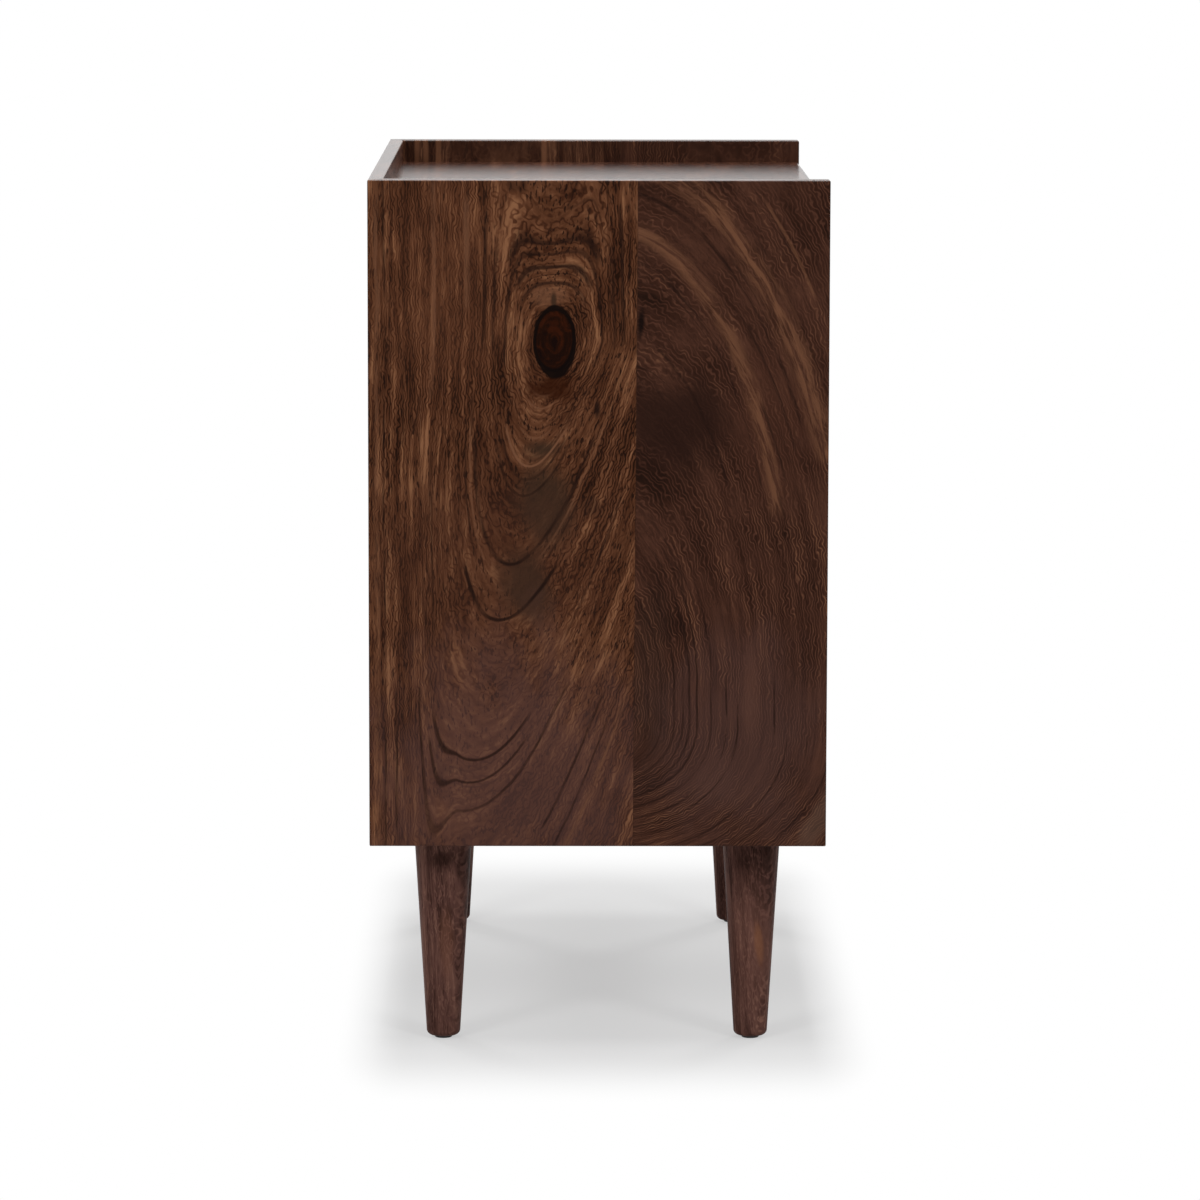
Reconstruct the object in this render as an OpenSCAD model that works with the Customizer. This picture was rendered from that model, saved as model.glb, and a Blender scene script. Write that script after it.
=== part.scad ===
// Nightstand with a railed tray top, two inset drawers and four round tapered legs.
// Millimetres, +Z up, front towards -Y, left and right as seen from the front.
// The origin is on the floor, below the middle of the case.

/* [Case] */
// Width over both side panels
case_w = 600; // [460:10:760]
// Depth from the front edges to the back face
case_d = 360; // [330:10:460]
// Height of the side panels
case_h = 525; // [440:5:620]
// Thickness of the side panels
side_t = 18; // [16:1:22]
// Thickness of the back panel
back_t = 12; // [10:1:18]
// Thickness of the tray board, the bottom board and the middle rail
board_t = 18; // [15:1:24]
// Height of the rails above the tray
rim_h = 19; // [10:1:35]
// Radius of the eased edges of the case and the drawer faces
edge_r = 1.5; // [0.5:0.5:3]
// Radius on the front edge of the tray
tray_edge_r = 3; // [1:0.5:6]
// Depth of the middle rail from front to back
rail_d = 60; // [50:5:100]

/* [Case joints] */
// Diameter of the dowels
dowel_d = 8; // [6:1:10]
// Depth that a dowel reaches into a side panel
dowel_in_side = 11; // [8:1:13]
// Depth that a dowel reaches into the end of a board
dowel_in_board = 20; // [15:1:30]
// Distance of the outer dowels from the edges of their board
dowel_inset = 18; // [12:1:20]
// Thickness of the tongue along the rear edge of a board
tongue_t = 6; // [4:1:8]
// Depth of the tongue in the back panel
tongue_d = 5; // [3:1:7]
// Air around a dowel or a tongue, on each side
joint_fit = 0.1; // [0.05:0.05:0.3]

/* [Legs] */
// Height of a leg with its glide
leg_h = 165; // [100:5:240]
// Diameter at the top
leg_top_d = 46; // [36:1:60]
// Diameter just above the rounded end
leg_low_d = 27; // [24:1:34]
// Radius of the rounded end
foot_r = 4.5; // [1:0.5:5]
// Distance from the case faces to the middle of a leg
leg_inset = 57; // [45:1:90]
// Diameter of a glide
glide_d = 14; // [8:1:15]
// Thickness of a glide
glide_t = 2; // [1:0.5:4]
// Diameter of the pin of a glide
glide_pin_d = 3; // [2:0.5:4]
// Length of the pin of a glide
glide_pin_len = 14; // [8:1:25]
// Diameter of a hanger bolt
bolt_d = 8; // [6:1:10]
// Length of a hanger bolt inside the leg
bolt_in_leg = 32; // [20:1:45]
// Outer diameter of a threaded insert
insert_d = 12; // [12:0.5:16]
// Height of a threaded insert
insert_h = 13; // [8:1:14]

/* [Drawers] */
// Gap around a drawer face
face_gap = 2; // [1:0.5:4]
// Thickness of a drawer face
face_t = 18; // [15:1:22]
// How far the drawer faces lie behind the front edges of the case
face_recess = 1; // [0:0.5:5]
// Width of the finger pull
pull_w = 120; // [80:5:200]
// Depth of the finger pull below the upper edge of the face
pull_h = 28; // [22:1:40]
// Radius of the lower corners of the finger pull
pull_r = 14; // [6:1:20]
// Width of the bevel around the finger pull
pull_bevel = 2; // [0.5:0.5:4]
// Thickness of the box walls
wall_t = 12; // [11:1:16]
// Thickness of the box floor
floor_t = 6; // [4:1:9]
// Height of the box floor above the lower edges of the box
floor_lift = 10; // [6:1:16]
// Depth of the groove that holds the box floor
floor_in_wall = 6; // [4:1:8]
// Room below the box
box_below = 16; // [10:1:25]
// Drop of the box's upper edge below the finger pull
box_above = 2; // [1:1:10]
// Room between the box and the back panel
box_behind = 29; // [15:1:60]
// Radius of the eased upper edges of the box
box_edge_r = 1.5; // [0.5:0.5:3]
// Number of tails on a corner of the box
tails = 4; // [3:1:6]
// Width of a pin at its narrow side
pin_w = 9; // [6:1:12]
// Slope of the dovetails in degrees
tail_slope = 8; // [6:1:12]
// Thickness of the glue line in the dovetails
glue_t = 0.1; // [0.05:0.05:0.2]

/* [Runners] */
// Thickness of a runner, from the side panel to the drawer box
runner_t = 12.7; // [12.7:0.1:14]
// Height of a runner
runner_h = 45; // [43:1:50]
// Height of the runner's middle above the lower edge of the box
runner_lift = 60; // [35:1:90]
// Distance from the drawer face to the front ends of the runner
runner_back = 2; // [1:0.5:6]
// Thickness of the steel
steel_t = 1.2; // [1:0.1:1.3]
// Outer radius of the bends
bend_r = 2; // [1.5:0.1:2.2]
// Depth of the case member and the middle member
member_d = 10; // [9.8:0.1:10.4]
// Height of the lips that keep the balls in
lip_h = 1.4; // [0.8:0.1:1.6]
// Diameter of the balls
ball_d = 2.6; // [2.4:0.1:2.8]
// Thickness of the ball cages
cage_t = 0.7; // [0.5:0.1:0.8]
// Number of balls in one row
balls = 6; // [4:1:8]
// Air between runner pieces that slide on each other
slide_gap = 0.3; // [0.2:0.05:0.4]
// Air around a ball
ball_gap = 0.2; // [0.15:0.05:0.3]
// How much shorter than the runner the travel is
travel_less = 20; // [10:5:50]
// How much shorter than the runner the middle member is
middle_less = 30; // [20:5:40]
// Distance from the front of the runner to the middle member
middle_back = 2; // [1:1:8]
// Length that a ball cage keeps clear at each end of the overlap
cage_clear = 11; // [5:1:20]

/* [Screws] */
// Diameter of the screws
screw_d = 3.5; // [3:0.1:4]
// Diameter of the screw heads
screw_head_d = 7; // [6:0.1:8]
// Length of the screws that hold the case members
case_screw_len = 14; // [10:1:15]
// Length of the screws that hold the drawer members
drawer_screw_len = 11; // [8:1:11]
// Length of the screws that hold a drawer face
face_screw_len = 25; // [18:1:25]
// Distance of the outer runner screws from the ends of the runner
runner_screw_inset = 35; // [20:1:60]
// Distance of the face screws from the middle of the drawer
face_screw_x = 190; // [80:5:200]
// Distance of the face screws from the edges of the box front
face_screw_inset = 35; // [25:1:50]
// Air around a screw
screw_fit = 0.1; // [0.05:0.05:0.2]

/* [Hidden] */

$fn = 64;
LEFT = -1;
RIGHT = 1;
FRONT = -1;
BACK = 1;
LOWER = 0;
UPPER = 1;
past = 1;    // how far a cut runs past a face

// Case
base_z = leg_h;
top_z = leg_h + case_h;
tray_z = top_z - rim_h;
half_w = case_w / 2;
half_d = case_d / 2;
inner_x = half_w - side_t;
inner_y = half_d - back_t;
front_y = -half_d;
opening_h = (tray_z - base_z - 3 * board_t) / 2;
board_zs = [base_z, base_z + board_t + opening_h, tray_z - board_t];

// Dowels, as places [y, z] on the inner faces of the side panels
deep_dowel_ys = [front_y + dowel_inset, (front_y + inner_y) / 2, inner_y - dowel_inset];
rail_dowel_ys = [front_y + dowel_inset, front_y + rail_d - dowel_inset];
dowel_places = concat(
    [for (y = deep_dowel_ys) [y, board_zs[0] + board_t / 2]],
    [for (y = rail_dowel_ys) [y, board_zs[1] + board_t / 2]],
    [for (y = deep_dowel_ys) [y, board_zs[2] + board_t / 2]]
);

// Drawers
face_y = front_y + face_recess;
box_y = face_y + face_t;
box_len = inner_y - box_behind - box_y;
box_half_w = inner_x - runner_t;
box_h = opening_h - box_below - box_above - pull_h - face_gap;
tail_pitch = box_h / tails;
tail_flare = wall_t * tan(tail_slope);
tail_half = (tail_pitch - pin_w) / 2 - tail_flare;    // half the width of a tail at its root

// Runners as long as the box, with u measured from the side panel towards the drawer
runner_y = box_y + runner_back;
travel = box_len - travel_less;
middle_len = box_len - middle_less;
case_race = runner_h / 2 - steel_t;                          // inner face of the case member
middle_half_h = case_race - ball_d - 2 * ball_gap;
middle_race = middle_half_h - steel_t;                       // inner face of the middle member
drawer_half_h = middle_race - ball_d - 2 * ball_gap;
case_cage_u = steel_t + slide_gap;
middle_u = case_cage_u + cage_t + slide_gap;
drawer_cage_u = middle_u + steel_t + slide_gap;
drawer_member_u = drawer_cage_u + cage_t + slide_gap;
lip_u = member_d - steel_t;
// The ball cages run where their two members still overlap when the drawer is fully out
case_overlap = middle_back + middle_len - travel / 2;
cage_len = case_overlap - 2 * cage_clear;
case_cage_y = travel / 4 + cage_clear;
drawer_overlap = (box_len - travel) - (middle_back - travel / 2);
drawer_cage_y = middle_back + travel / 4 + (drawer_overlap - cage_len) / 2;
runner_screw_ys = [runner_screw_inset, box_len / 2, box_len - runner_screw_inset];

walnut = "#5f4436";
walnut_end = "#4c3529";
birch = "#cdb489";
steel = "#b9bcbf";
dark_steel = "#6f7274";
black = "#1b1b1c";

function opening_z(level) = board_zs[level] + board_t;
function box_z(level) = opening_z(level) + box_below;
function runner_z(level) = box_z(level) + runner_lift;

// Extrusions of a flat outline along one axis, between two places on it
module along_x(x0, x1) {
    translate([x0, 0, 0]) rotate([90, 0, 90]) linear_extrude(x1 - x0) children();
}

module along_y(y0, y1) {
    translate([0, y1, 0]) rotate([90, 0, 0]) linear_extrude(y1 - y0) children();
}

module along_z(z0, z1) {
    translate([0, 0, z0]) linear_extrude(z1 - z0) children();
}

// Rectangle between two corners
module rect(a, b) {
    translate(a) square(b - a);
}

// Rectangle between two corners, with all four corners rounded
module round_rect(a, b, r) {
    rect([a.x + r, a.y], [b.x - r, b.y]);
    rect([a.x, a.y + r], [b.x, b.y - r]);
    for (x = [a.x + r, b.x - r], y = [a.y + r, b.y - r]) {
        translate([x, y]) circle(r);
    }
}

// Board between two corners, with all its edges eased
module eased_board(a, b, r) {
    intersection() {
        along_x(a.x, b.x) round_rect([a.y, a.z], [b.y, b.z], r);
        along_y(a.y, b.y) round_rect([a.x, a.z], [b.x, b.z], r);
        along_z(a.z, b.z) round_rect([a.x, a.y], [b.x, b.y], r);
    }
}

// Plain board between two corners
module board(a, b) {
    translate(a) cube(b - a);
}

// What is built on the left comes out on the chosen side
module on_side(side) {
    if (side == LEFT) {
        children();
    } else {
        mirror([1, 0, 0]) children();
    }
}

// Countersunk screw along +X with its head's flat face at x = 0; air widens it for its hole
module screw(len, air = 0) {
    head_h = (screw_head_d - screw_d) / 2;
    rotate([0, 90, 0]) {
        cylinder(d = screw_d + 2 * air, h = len + air);
        cylinder(d1 = screw_head_d + 2 * air, d2 = screw_d + 2 * air, h = head_h);
    }
}

// Holes or dowels between the boards and the left side panel
module dowel_row(air = 0) {
    for (p = dowel_places) {
        translate([-inner_x - dowel_in_side - air, p.x, p.y]) rotate([0, 90, 0])
            cylinder(d = dowel_d + 2 * air, h = dowel_in_side + dowel_in_board + 2 * air);
    }
}

// Screws or their holes in the left side panel and the case members
module case_screw_rows(air = 0) {
    for (level = [LOWER, UPPER], y = runner_screw_ys) {
        translate([-inner_x + steel_t, runner_y + y, runner_z(level)]) mirror([1, 0, 0])
            screw(case_screw_len, air);
    }
}

// Screws or their holes in the left drawer member and the box wall
module member_screw_row(level, air = 0) {
    for (y = runner_screw_ys) {
        translate([-inner_x + runner_t - steel_t, runner_y + y, runner_z(level)])
            screw(drawer_screw_len, air);
    }
}

// Screws or their holes between the box front and the drawer face
module face_screw_set(level, air = 0) {
    for (x = [-face_screw_x, face_screw_x], z = [face_screw_inset, box_h - face_screw_inset]) {
        translate([x, box_y + wall_t, box_z(level) + z]) rotate([0, 0, -90])
            screw(face_screw_len, air);
    }
}

// Rear edge of a board: the tongue, or the groove that takes it
module tongue(z, air = 0) {
    mid = z + board_t / 2;
    board([-inner_x, inner_y - past, mid - tongue_t / 2 - air],
          [inner_x, inner_y + tongue_d + air, mid + tongue_t / 2 + air]);
}

// Outline of the case seen from above
module case_plan() {
    round_rect([-half_w, -half_d], [half_w, half_d], edge_r);
}

// Side panel: mitred to the back panel, its other edges eased
module side_panel(side) {
    color(walnut) on_side(side) difference() {
        intersection() {
            along_z(base_z, top_z) intersection() {
                case_plan();
                polygon([[-half_w, half_d], [-inner_x, inner_y],
                         [-inner_x, front_y], [-half_w, front_y]]);
            }
            along_y(front_y, half_d) round_rect([-half_w, base_z], [-inner_x, top_z], edge_r);
            along_x(-half_w, -inner_x)
                round_rect([front_y, base_z], [half_d + 2 * edge_r, top_z], edge_r);
        }
        dowel_row(joint_fit);
        case_screw_rows(screw_fit);
    }
}

// Back panel: full height, so that its upper part is the rear rail of the tray
module back_panel() {
    color(walnut) difference() {
        intersection() {
            along_z(base_z, top_z) intersection() {
                case_plan();
                polygon([[-half_w, half_d], [half_w, half_d],
                         [inner_x, inner_y], [-inner_x, inner_y]]);
            }
            along_x(-half_w, half_w) round_rect([inner_y, base_z], [half_d, top_z], edge_r);
        }
        tongue(board_zs[0], joint_fit);
        tongue(board_zs[2], joint_fit);
    }
}

// Board between the side panels with a rounded front edge, from the front to depth y1
module cross_board(z, y1, r) {
    difference() {
        along_x(-inner_x, inner_x) intersection() {
            round_rect([front_y, z], [y1 + 2 * r, z + board_t], r);
            rect([front_y, z], [y1, z + board_t]);
        }
        for (side = [LEFT, RIGHT]) {
            on_side(side) dowel_row(joint_fit);
        }
    }
}

module top_board() {
    color(walnut) union() {
        cross_board(board_zs[2], inner_y, tray_edge_r);
        tongue(board_zs[2]);
    }
}

module bottom_board() {
    color(walnut) union() {
        difference() {
            cross_board(board_zs[0], inner_y, edge_r);
            at_legs() translate([0, 0, base_z - past])
                cylinder(d = insert_d, h = past + insert_h + joint_fit);
        }
        tongue(board_zs[0]);
    }
}

module middle_rail() {
    color(walnut) cross_board(board_zs[1], front_y + rail_d, edge_r);
}

module dowels() {
    color(birch) for (side = [LEFT, RIGHT]) {
        on_side(side) dowel_row();
    }
}

// One corner of the case, where a leg stands
module at_leg(side, end) {
    translate([side * (half_w - leg_inset), end * (half_d - leg_inset), 0]) children();
}

module at_legs() {
    for (side = [LEFT, RIGHT], end = [FRONT, BACK]) {
        at_leg(side, end) children();
    }
}

// Turned leg, with a blind hole for its bolt and one for the pin of its glide
module leg(side, end) {
    round_x = leg_low_d / 2 - foot_r;
    round_z = glide_t + foot_r;
    color(walnut) at_leg(side, end) difference() {
        rotate_extrude() {
            polygon([[0, glide_t], [round_x, glide_t], [leg_low_d / 2, round_z],
                     [leg_top_d / 2, leg_h], [0, leg_h]]);
            translate([round_x, round_z]) circle(foot_r);
        }
        translate([0, 0, leg_h - bolt_in_leg - joint_fit])
            cylinder(d = bolt_d + 2 * joint_fit, h = bolt_in_leg + joint_fit + past);
        translate([0, 0, glide_t - past])
            cylinder(d = glide_pin_d + 2 * joint_fit, h = glide_pin_len + joint_fit + past);
    }
}

// Nail-in glide with a softened rim
module glide(side, end) {
    rim = glide_t / 4;
    color(black) at_leg(side, end) {
        rotate_extrude() polygon([
            [0, 0], [glide_d / 2 - rim, 0], [glide_d / 2, rim], [glide_d / 2, glide_t], [0, glide_t]
        ]);
        cylinder(d = glide_pin_d, h = glide_t + glide_pin_len);
    }
}

module leg_inserts() {
    color(dark_steel) at_legs() translate([0, 0, base_z]) difference() {
        cylinder(d = insert_d - 2 * joint_fit, h = insert_h);
        translate([0, 0, -past])
            cylinder(d = bolt_d + 2 * joint_fit, h = insert_h + 2 * past);
    }
}

module leg_bolts() {
    color(steel) at_legs() translate([0, 0, base_z - bolt_in_leg])
        cylinder(d = bolt_d, h = bolt_in_leg + insert_h);
}

// Section of a lipped channel between u0 and u1, open towards the side where its lips are
module channel(u0, u1, half_h, open_end) {
    mid = (u0 + u1) / 2;
    mouth = half_h - steel_t - lip_h;
    difference() {
        round_rect([u0, -half_h], [u1, half_h], bend_r);
        round_rect([u0 + steel_t, -half_h + steel_t], [u1 - steel_t, half_h - steel_t],
                   bend_r - steel_t);
        if (open_end) {
            rect([mid, -mouth], [u1 + past, mouth]);
        } else {
            rect([u0 - past, -mouth], [mid, mouth]);
        }
    }
}

// A runner piece on its level and side, with the left one's u and v as x and z
module at_runner(level, side) {
    on_side(side) translate([-inner_x, runner_y, runner_z(level)]) children();
}

module case_member(level, side) {
    color(steel) difference() {
        at_runner(level, side) along_y(0, box_len) channel(0, member_d, runner_h / 2, true);
        on_side(side) case_screw_rows(screw_fit);
    }
}

module middle_member(level, side) {
    color(steel) at_runner(level, side)
        along_y(middle_back, middle_back + middle_len)
            channel(middle_u, member_d, middle_half_h, true);
}

module drawer_member(level, side) {
    color(steel) difference() {
        at_runner(level, side)
            along_y(0, box_len) channel(drawer_member_u, runner_t, drawer_half_h, false);
        on_side(side) member_screw_row(level, screw_fit);
    }
}

// Ball cage: a strip of U section whose two flanges each carry a row of balls
module ball_cage(u, y0, half_h) {
    ball_u = (u + cage_t + lip_u) / 2;
    race_v = half_h + ball_gap + ball_d / 2;
    pitch = cage_len / balls;
    along_y(y0, y0 + cage_len) difference() {
        rect([u, -race_v - cage_t / 2], [ball_u + ball_d * 0.6, race_v + cage_t / 2]);
        rect([u + cage_t, -race_v + cage_t / 2], [ball_u + ball_d, race_v - cage_t / 2]);
    }
    for (i = [0 : balls - 1], v = [-race_v, race_v]) {
        translate([ball_u, y0 + (i + 0.5) * pitch, v]) sphere(d = ball_d, $fn = 32);
    }
}

module case_cage(level, side) {
    color(dark_steel) at_runner(level, side) ball_cage(case_cage_u, case_cage_y, middle_half_h);
}

module drawer_cage(level, side) {
    color(dark_steel) at_runner(level, side)
        ball_cage(drawer_cage_u, drawer_cage_y, drawer_half_h);
}

module case_member_screws() {
    color(steel) for (side = [LEFT, RIGHT]) {
        on_side(side) case_screw_rows();
    }
}

module member_screws(level) {
    color(steel) for (side = [LEFT, RIGHT]) {
        on_side(side) member_screw_row(level);
    }
}

// Bevel around a finger pull whose face lies at y, on the side that the face looks to
module pull_bevels(y, z, end) {
    flat = pull_w / 2 - pull_r;
    wide = pull_w / 2 + pull_bevel;
    translate([0, y, z]) mirror([0, end == BACK ? 1 : 0, 0]) {
        along_x(-flat, flat) polygon([
            [0, -pull_bevel], [pull_bevel, 0], [pull_bevel, pull_r], [0, pull_r]
        ]);
        along_z(pull_r, pull_h + past) polygon([
            [-wide, 0], [wide, 0], [pull_w / 2, pull_bevel], [-pull_w / 2, pull_bevel]
        ]);
        for (x = [-flat, flat]) {
            translate([x, 0, pull_r]) rotate([-90, 0, 0])
                cylinder(r1 = pull_r + pull_bevel, r2 = pull_r, h = pull_bevel);
        }
    }
}

// Drawer face with a finger pull cut into its upper edge
module face(level) {
    z0 = opening_z(level) + face_gap;
    z1 = opening_z(level) + opening_h - face_gap;
    half_face = inner_x - face_gap;
    color(walnut) difference() {
        eased_board([-half_face, face_y, z0], [half_face, face_y + face_t, z1], edge_r);
        along_y(face_y - past, face_y + face_t + past)
            round_rect([-pull_w / 2, z1 - pull_h], [pull_w / 2, z1 + pull_r + past], pull_r);
        pull_bevels(face_y, z1 - pull_h, FRONT);
        pull_bevels(face_y + face_t, z1 - pull_h, BACK);
        face_screw_set(level, screw_fit);
    }
}

module face_screws(level) {
    color(steel) face_screw_set(level);
}

// Tails at one end of a box side, seen from its outer face: root at y, tip wall_t further on
module tail_outlines(y, end, air = 0) {
    translate([y, 0]) mirror([end == FRONT ? 1 : 0, 0]) for (i = [0 : tails - 1]) {
        mid = (i + 0.5) * tail_pitch;
        root = tail_half + air;
        tip = root + tail_flare;
        polygon([[-past, mid - root], [0, mid - root], [wall_t, mid - tip],
                 [wall_t, mid + tip], [0, mid + root], [-past, mid + root]]);
    }
}

// Floor of the box, or the groove that takes it
module floor_board(level, air = 0) {
    reach = wall_t - floor_in_wall;
    z = box_z(level) + floor_lift;
    board([-box_half_w + reach - air, box_y + reach - air, z - air],
          [box_half_w - reach + air, box_y + box_len - reach + air, z + floor_t + air]);
}

// Section of a box wall or of the whole box between a0 and a1, its upper corners rounded
module wall_section(a0, a1) {
    intersection() {
        round_rect([a0, -2 * box_edge_r], [a1, box_h], box_edge_r);
        rect([a0, 0], [a1, box_h]);
    }
}

// Side of the box, with tails at both ends
module box_side(level, side) {
    color(birch) difference() {
        on_side(side) translate([0, 0, box_z(level)]) intersection() {
            along_x(-box_half_w, -box_half_w + wall_t) {
                rect([box_y + wall_t, 0], [box_y + box_len - wall_t, box_h]);
                tail_outlines(box_y + wall_t, FRONT);
                tail_outlines(box_y + box_len - wall_t, BACK);
            }
            along_y(box_y, box_y + box_len) wall_section(-box_half_w, -box_half_w + wall_t);
        }
        floor_board(level, joint_fit);
        on_side(side) member_screw_row(level, screw_fit);
    }
}

// Front or back wall of the box, with pins between the tails of both sides
module box_end(level, end) {
    y0 = end == FRONT ? box_y : box_y + box_len - wall_t;
    root = end == FRONT ? y0 + wall_t : y0;
    color(birch) difference() {
        translate([0, 0, box_z(level)]) intersection() {
            along_x(-box_half_w, box_half_w) wall_section(y0, y0 + wall_t);
            along_y(y0, y0 + wall_t) wall_section(-box_half_w, box_half_w);
        }
        for (side = [LEFT, RIGHT]) {
            on_side(side) translate([0, 0, box_z(level)])
                along_x(-box_half_w - past, -box_half_w + wall_t + glue_t)
                    tail_outlines(root, end, glue_t);
        }
        floor_board(level, joint_fit);
        if (end == FRONT) {
            face_screw_set(level, screw_fit);
        }
    }
}

module box_floor(level) {
    color(birch) floor_board(level);
}

side_panel(LEFT);  // side_left
side_panel(RIGHT);  // side_right
back_panel();
top_board();
bottom_board();
middle_rail();
dowels();
leg(LEFT, FRONT);  // leg_front_left
leg(RIGHT, FRONT);  // leg_front_right
leg(LEFT, BACK);  // leg_back_left
leg(RIGHT, BACK);  // leg_back_right
glide(LEFT, FRONT);  // glide_front_left
glide(RIGHT, FRONT);  // glide_front_right
glide(LEFT, BACK);  // glide_back_left
glide(RIGHT, BACK);  // glide_back_right
leg_inserts();
leg_bolts();
case_member_screws();
case_member(UPPER, LEFT);  // upper_left_case_member
middle_member(UPPER, LEFT);  // upper_left_middle_member
drawer_member(UPPER, LEFT);  // upper_left_drawer_member
case_cage(UPPER, LEFT);  // upper_left_case_cage
drawer_cage(UPPER, LEFT);  // upper_left_drawer_cage
case_member(UPPER, RIGHT);  // upper_right_case_member
middle_member(UPPER, RIGHT);  // upper_right_middle_member
drawer_member(UPPER, RIGHT);  // upper_right_drawer_member
case_cage(UPPER, RIGHT);  // upper_right_case_cage
drawer_cage(UPPER, RIGHT);  // upper_right_drawer_cage
case_member(LOWER, LEFT);  // lower_left_case_member
middle_member(LOWER, LEFT);  // lower_left_middle_member
drawer_member(LOWER, LEFT);  // lower_left_drawer_member
case_cage(LOWER, LEFT);  // lower_left_case_cage
drawer_cage(LOWER, LEFT);  // lower_left_drawer_cage
case_member(LOWER, RIGHT);  // lower_right_case_member
middle_member(LOWER, RIGHT);  // lower_right_middle_member
drawer_member(LOWER, RIGHT);  // lower_right_drawer_member
case_cage(LOWER, RIGHT);  // lower_right_case_cage
drawer_cage(LOWER, RIGHT);  // lower_right_drawer_cage
face(UPPER);  // upper_face
box_end(UPPER, FRONT);  // upper_box_front
box_end(UPPER, BACK);  // upper_box_back
box_side(UPPER, LEFT);  // upper_box_left
box_side(UPPER, RIGHT);  // upper_box_right
box_floor(UPPER);  // upper_box_floor
face_screws(UPPER);  // upper_face_screws
member_screws(UPPER);  // upper_member_screws
face(LOWER);  // lower_face
box_end(LOWER, FRONT);  // lower_box_front
box_end(LOWER, BACK);  // lower_box_back
box_side(LOWER, LEFT);  // lower_box_left
box_side(LOWER, RIGHT);  // lower_box_right
box_floor(LOWER);  // lower_box_floor
face_screws(LOWER);  // lower_face_screws
member_screws(LOWER);  // lower_member_screws
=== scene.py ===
"""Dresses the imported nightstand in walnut, birch and steel, and sets up its studio."""

from __future__ import annotations

import logging
import math
from abc import ABC, abstractmethod
from dataclasses import dataclass, field, replace
from enum import Enum
from typing import Any, Sequence, Union

import bmesh
import bpy
from mathutils import Matrix, Vector


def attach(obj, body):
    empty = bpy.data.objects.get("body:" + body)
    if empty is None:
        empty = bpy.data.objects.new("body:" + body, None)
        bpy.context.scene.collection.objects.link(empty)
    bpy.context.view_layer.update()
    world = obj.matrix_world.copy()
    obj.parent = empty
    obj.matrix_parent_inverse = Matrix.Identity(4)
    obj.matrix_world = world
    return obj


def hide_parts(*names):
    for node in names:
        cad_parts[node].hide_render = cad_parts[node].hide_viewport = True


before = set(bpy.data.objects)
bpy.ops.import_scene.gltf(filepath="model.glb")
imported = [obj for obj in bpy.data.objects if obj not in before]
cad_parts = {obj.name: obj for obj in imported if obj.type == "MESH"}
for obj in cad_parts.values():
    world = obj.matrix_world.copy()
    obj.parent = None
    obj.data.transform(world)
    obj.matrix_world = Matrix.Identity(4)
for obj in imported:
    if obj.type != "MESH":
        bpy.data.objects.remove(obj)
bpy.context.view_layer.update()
LOG = logging.getLogger("nightstand")

# The case's reach from the middle of its width and of its depth, and above the floor, in millimetres.
HALF_WIDTH = 300.0
HALF_DEPTH = 180.0
CASE_BOTTOM = 165.0
CASE_TOP = 690.0
MM_PER_METRE = 1000.0

Colour = tuple[float, float, float, float]
Point = tuple[float, float, float]
Pair = tuple[float, float]
Link = bpy.types.NodeSocket


def tint(red: int, green: int, blue: int) -> Colour:
    """Turns a colour as the screen shows it into the linear colour that a shader takes.

    Args:
        red: Red from 0 to 255.
        green: Green from 0 to 255.
        blue: Blue from 0 to 255.

    Returns:
        The linear colour with full alpha.
    """

    def linear(level: int) -> float:
        """Undoes the screen's curve for one channel."""
        share = level / 255
        return share / 12.92 if share <= 0.04045 else ((share + 0.055) / 1.055) ** 2.4

    return (linear(red), linear(green), linear(blue), 1.0)


def tones(*shades: tuple[int, int, int]) -> tuple[Colour, ...]:
    """Turns several such colours at once."""
    return tuple(tint(*shade) for shade in shades)


class Axis(Enum):
    """The way along which the fibres of a board run, as the index of the coordinate."""

    X = 0
    Y = 1
    Z = 2


class Side(Enum):
    """A side of the case, by the sign of its X."""

    LEFT = -1
    RIGHT = 1


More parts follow.
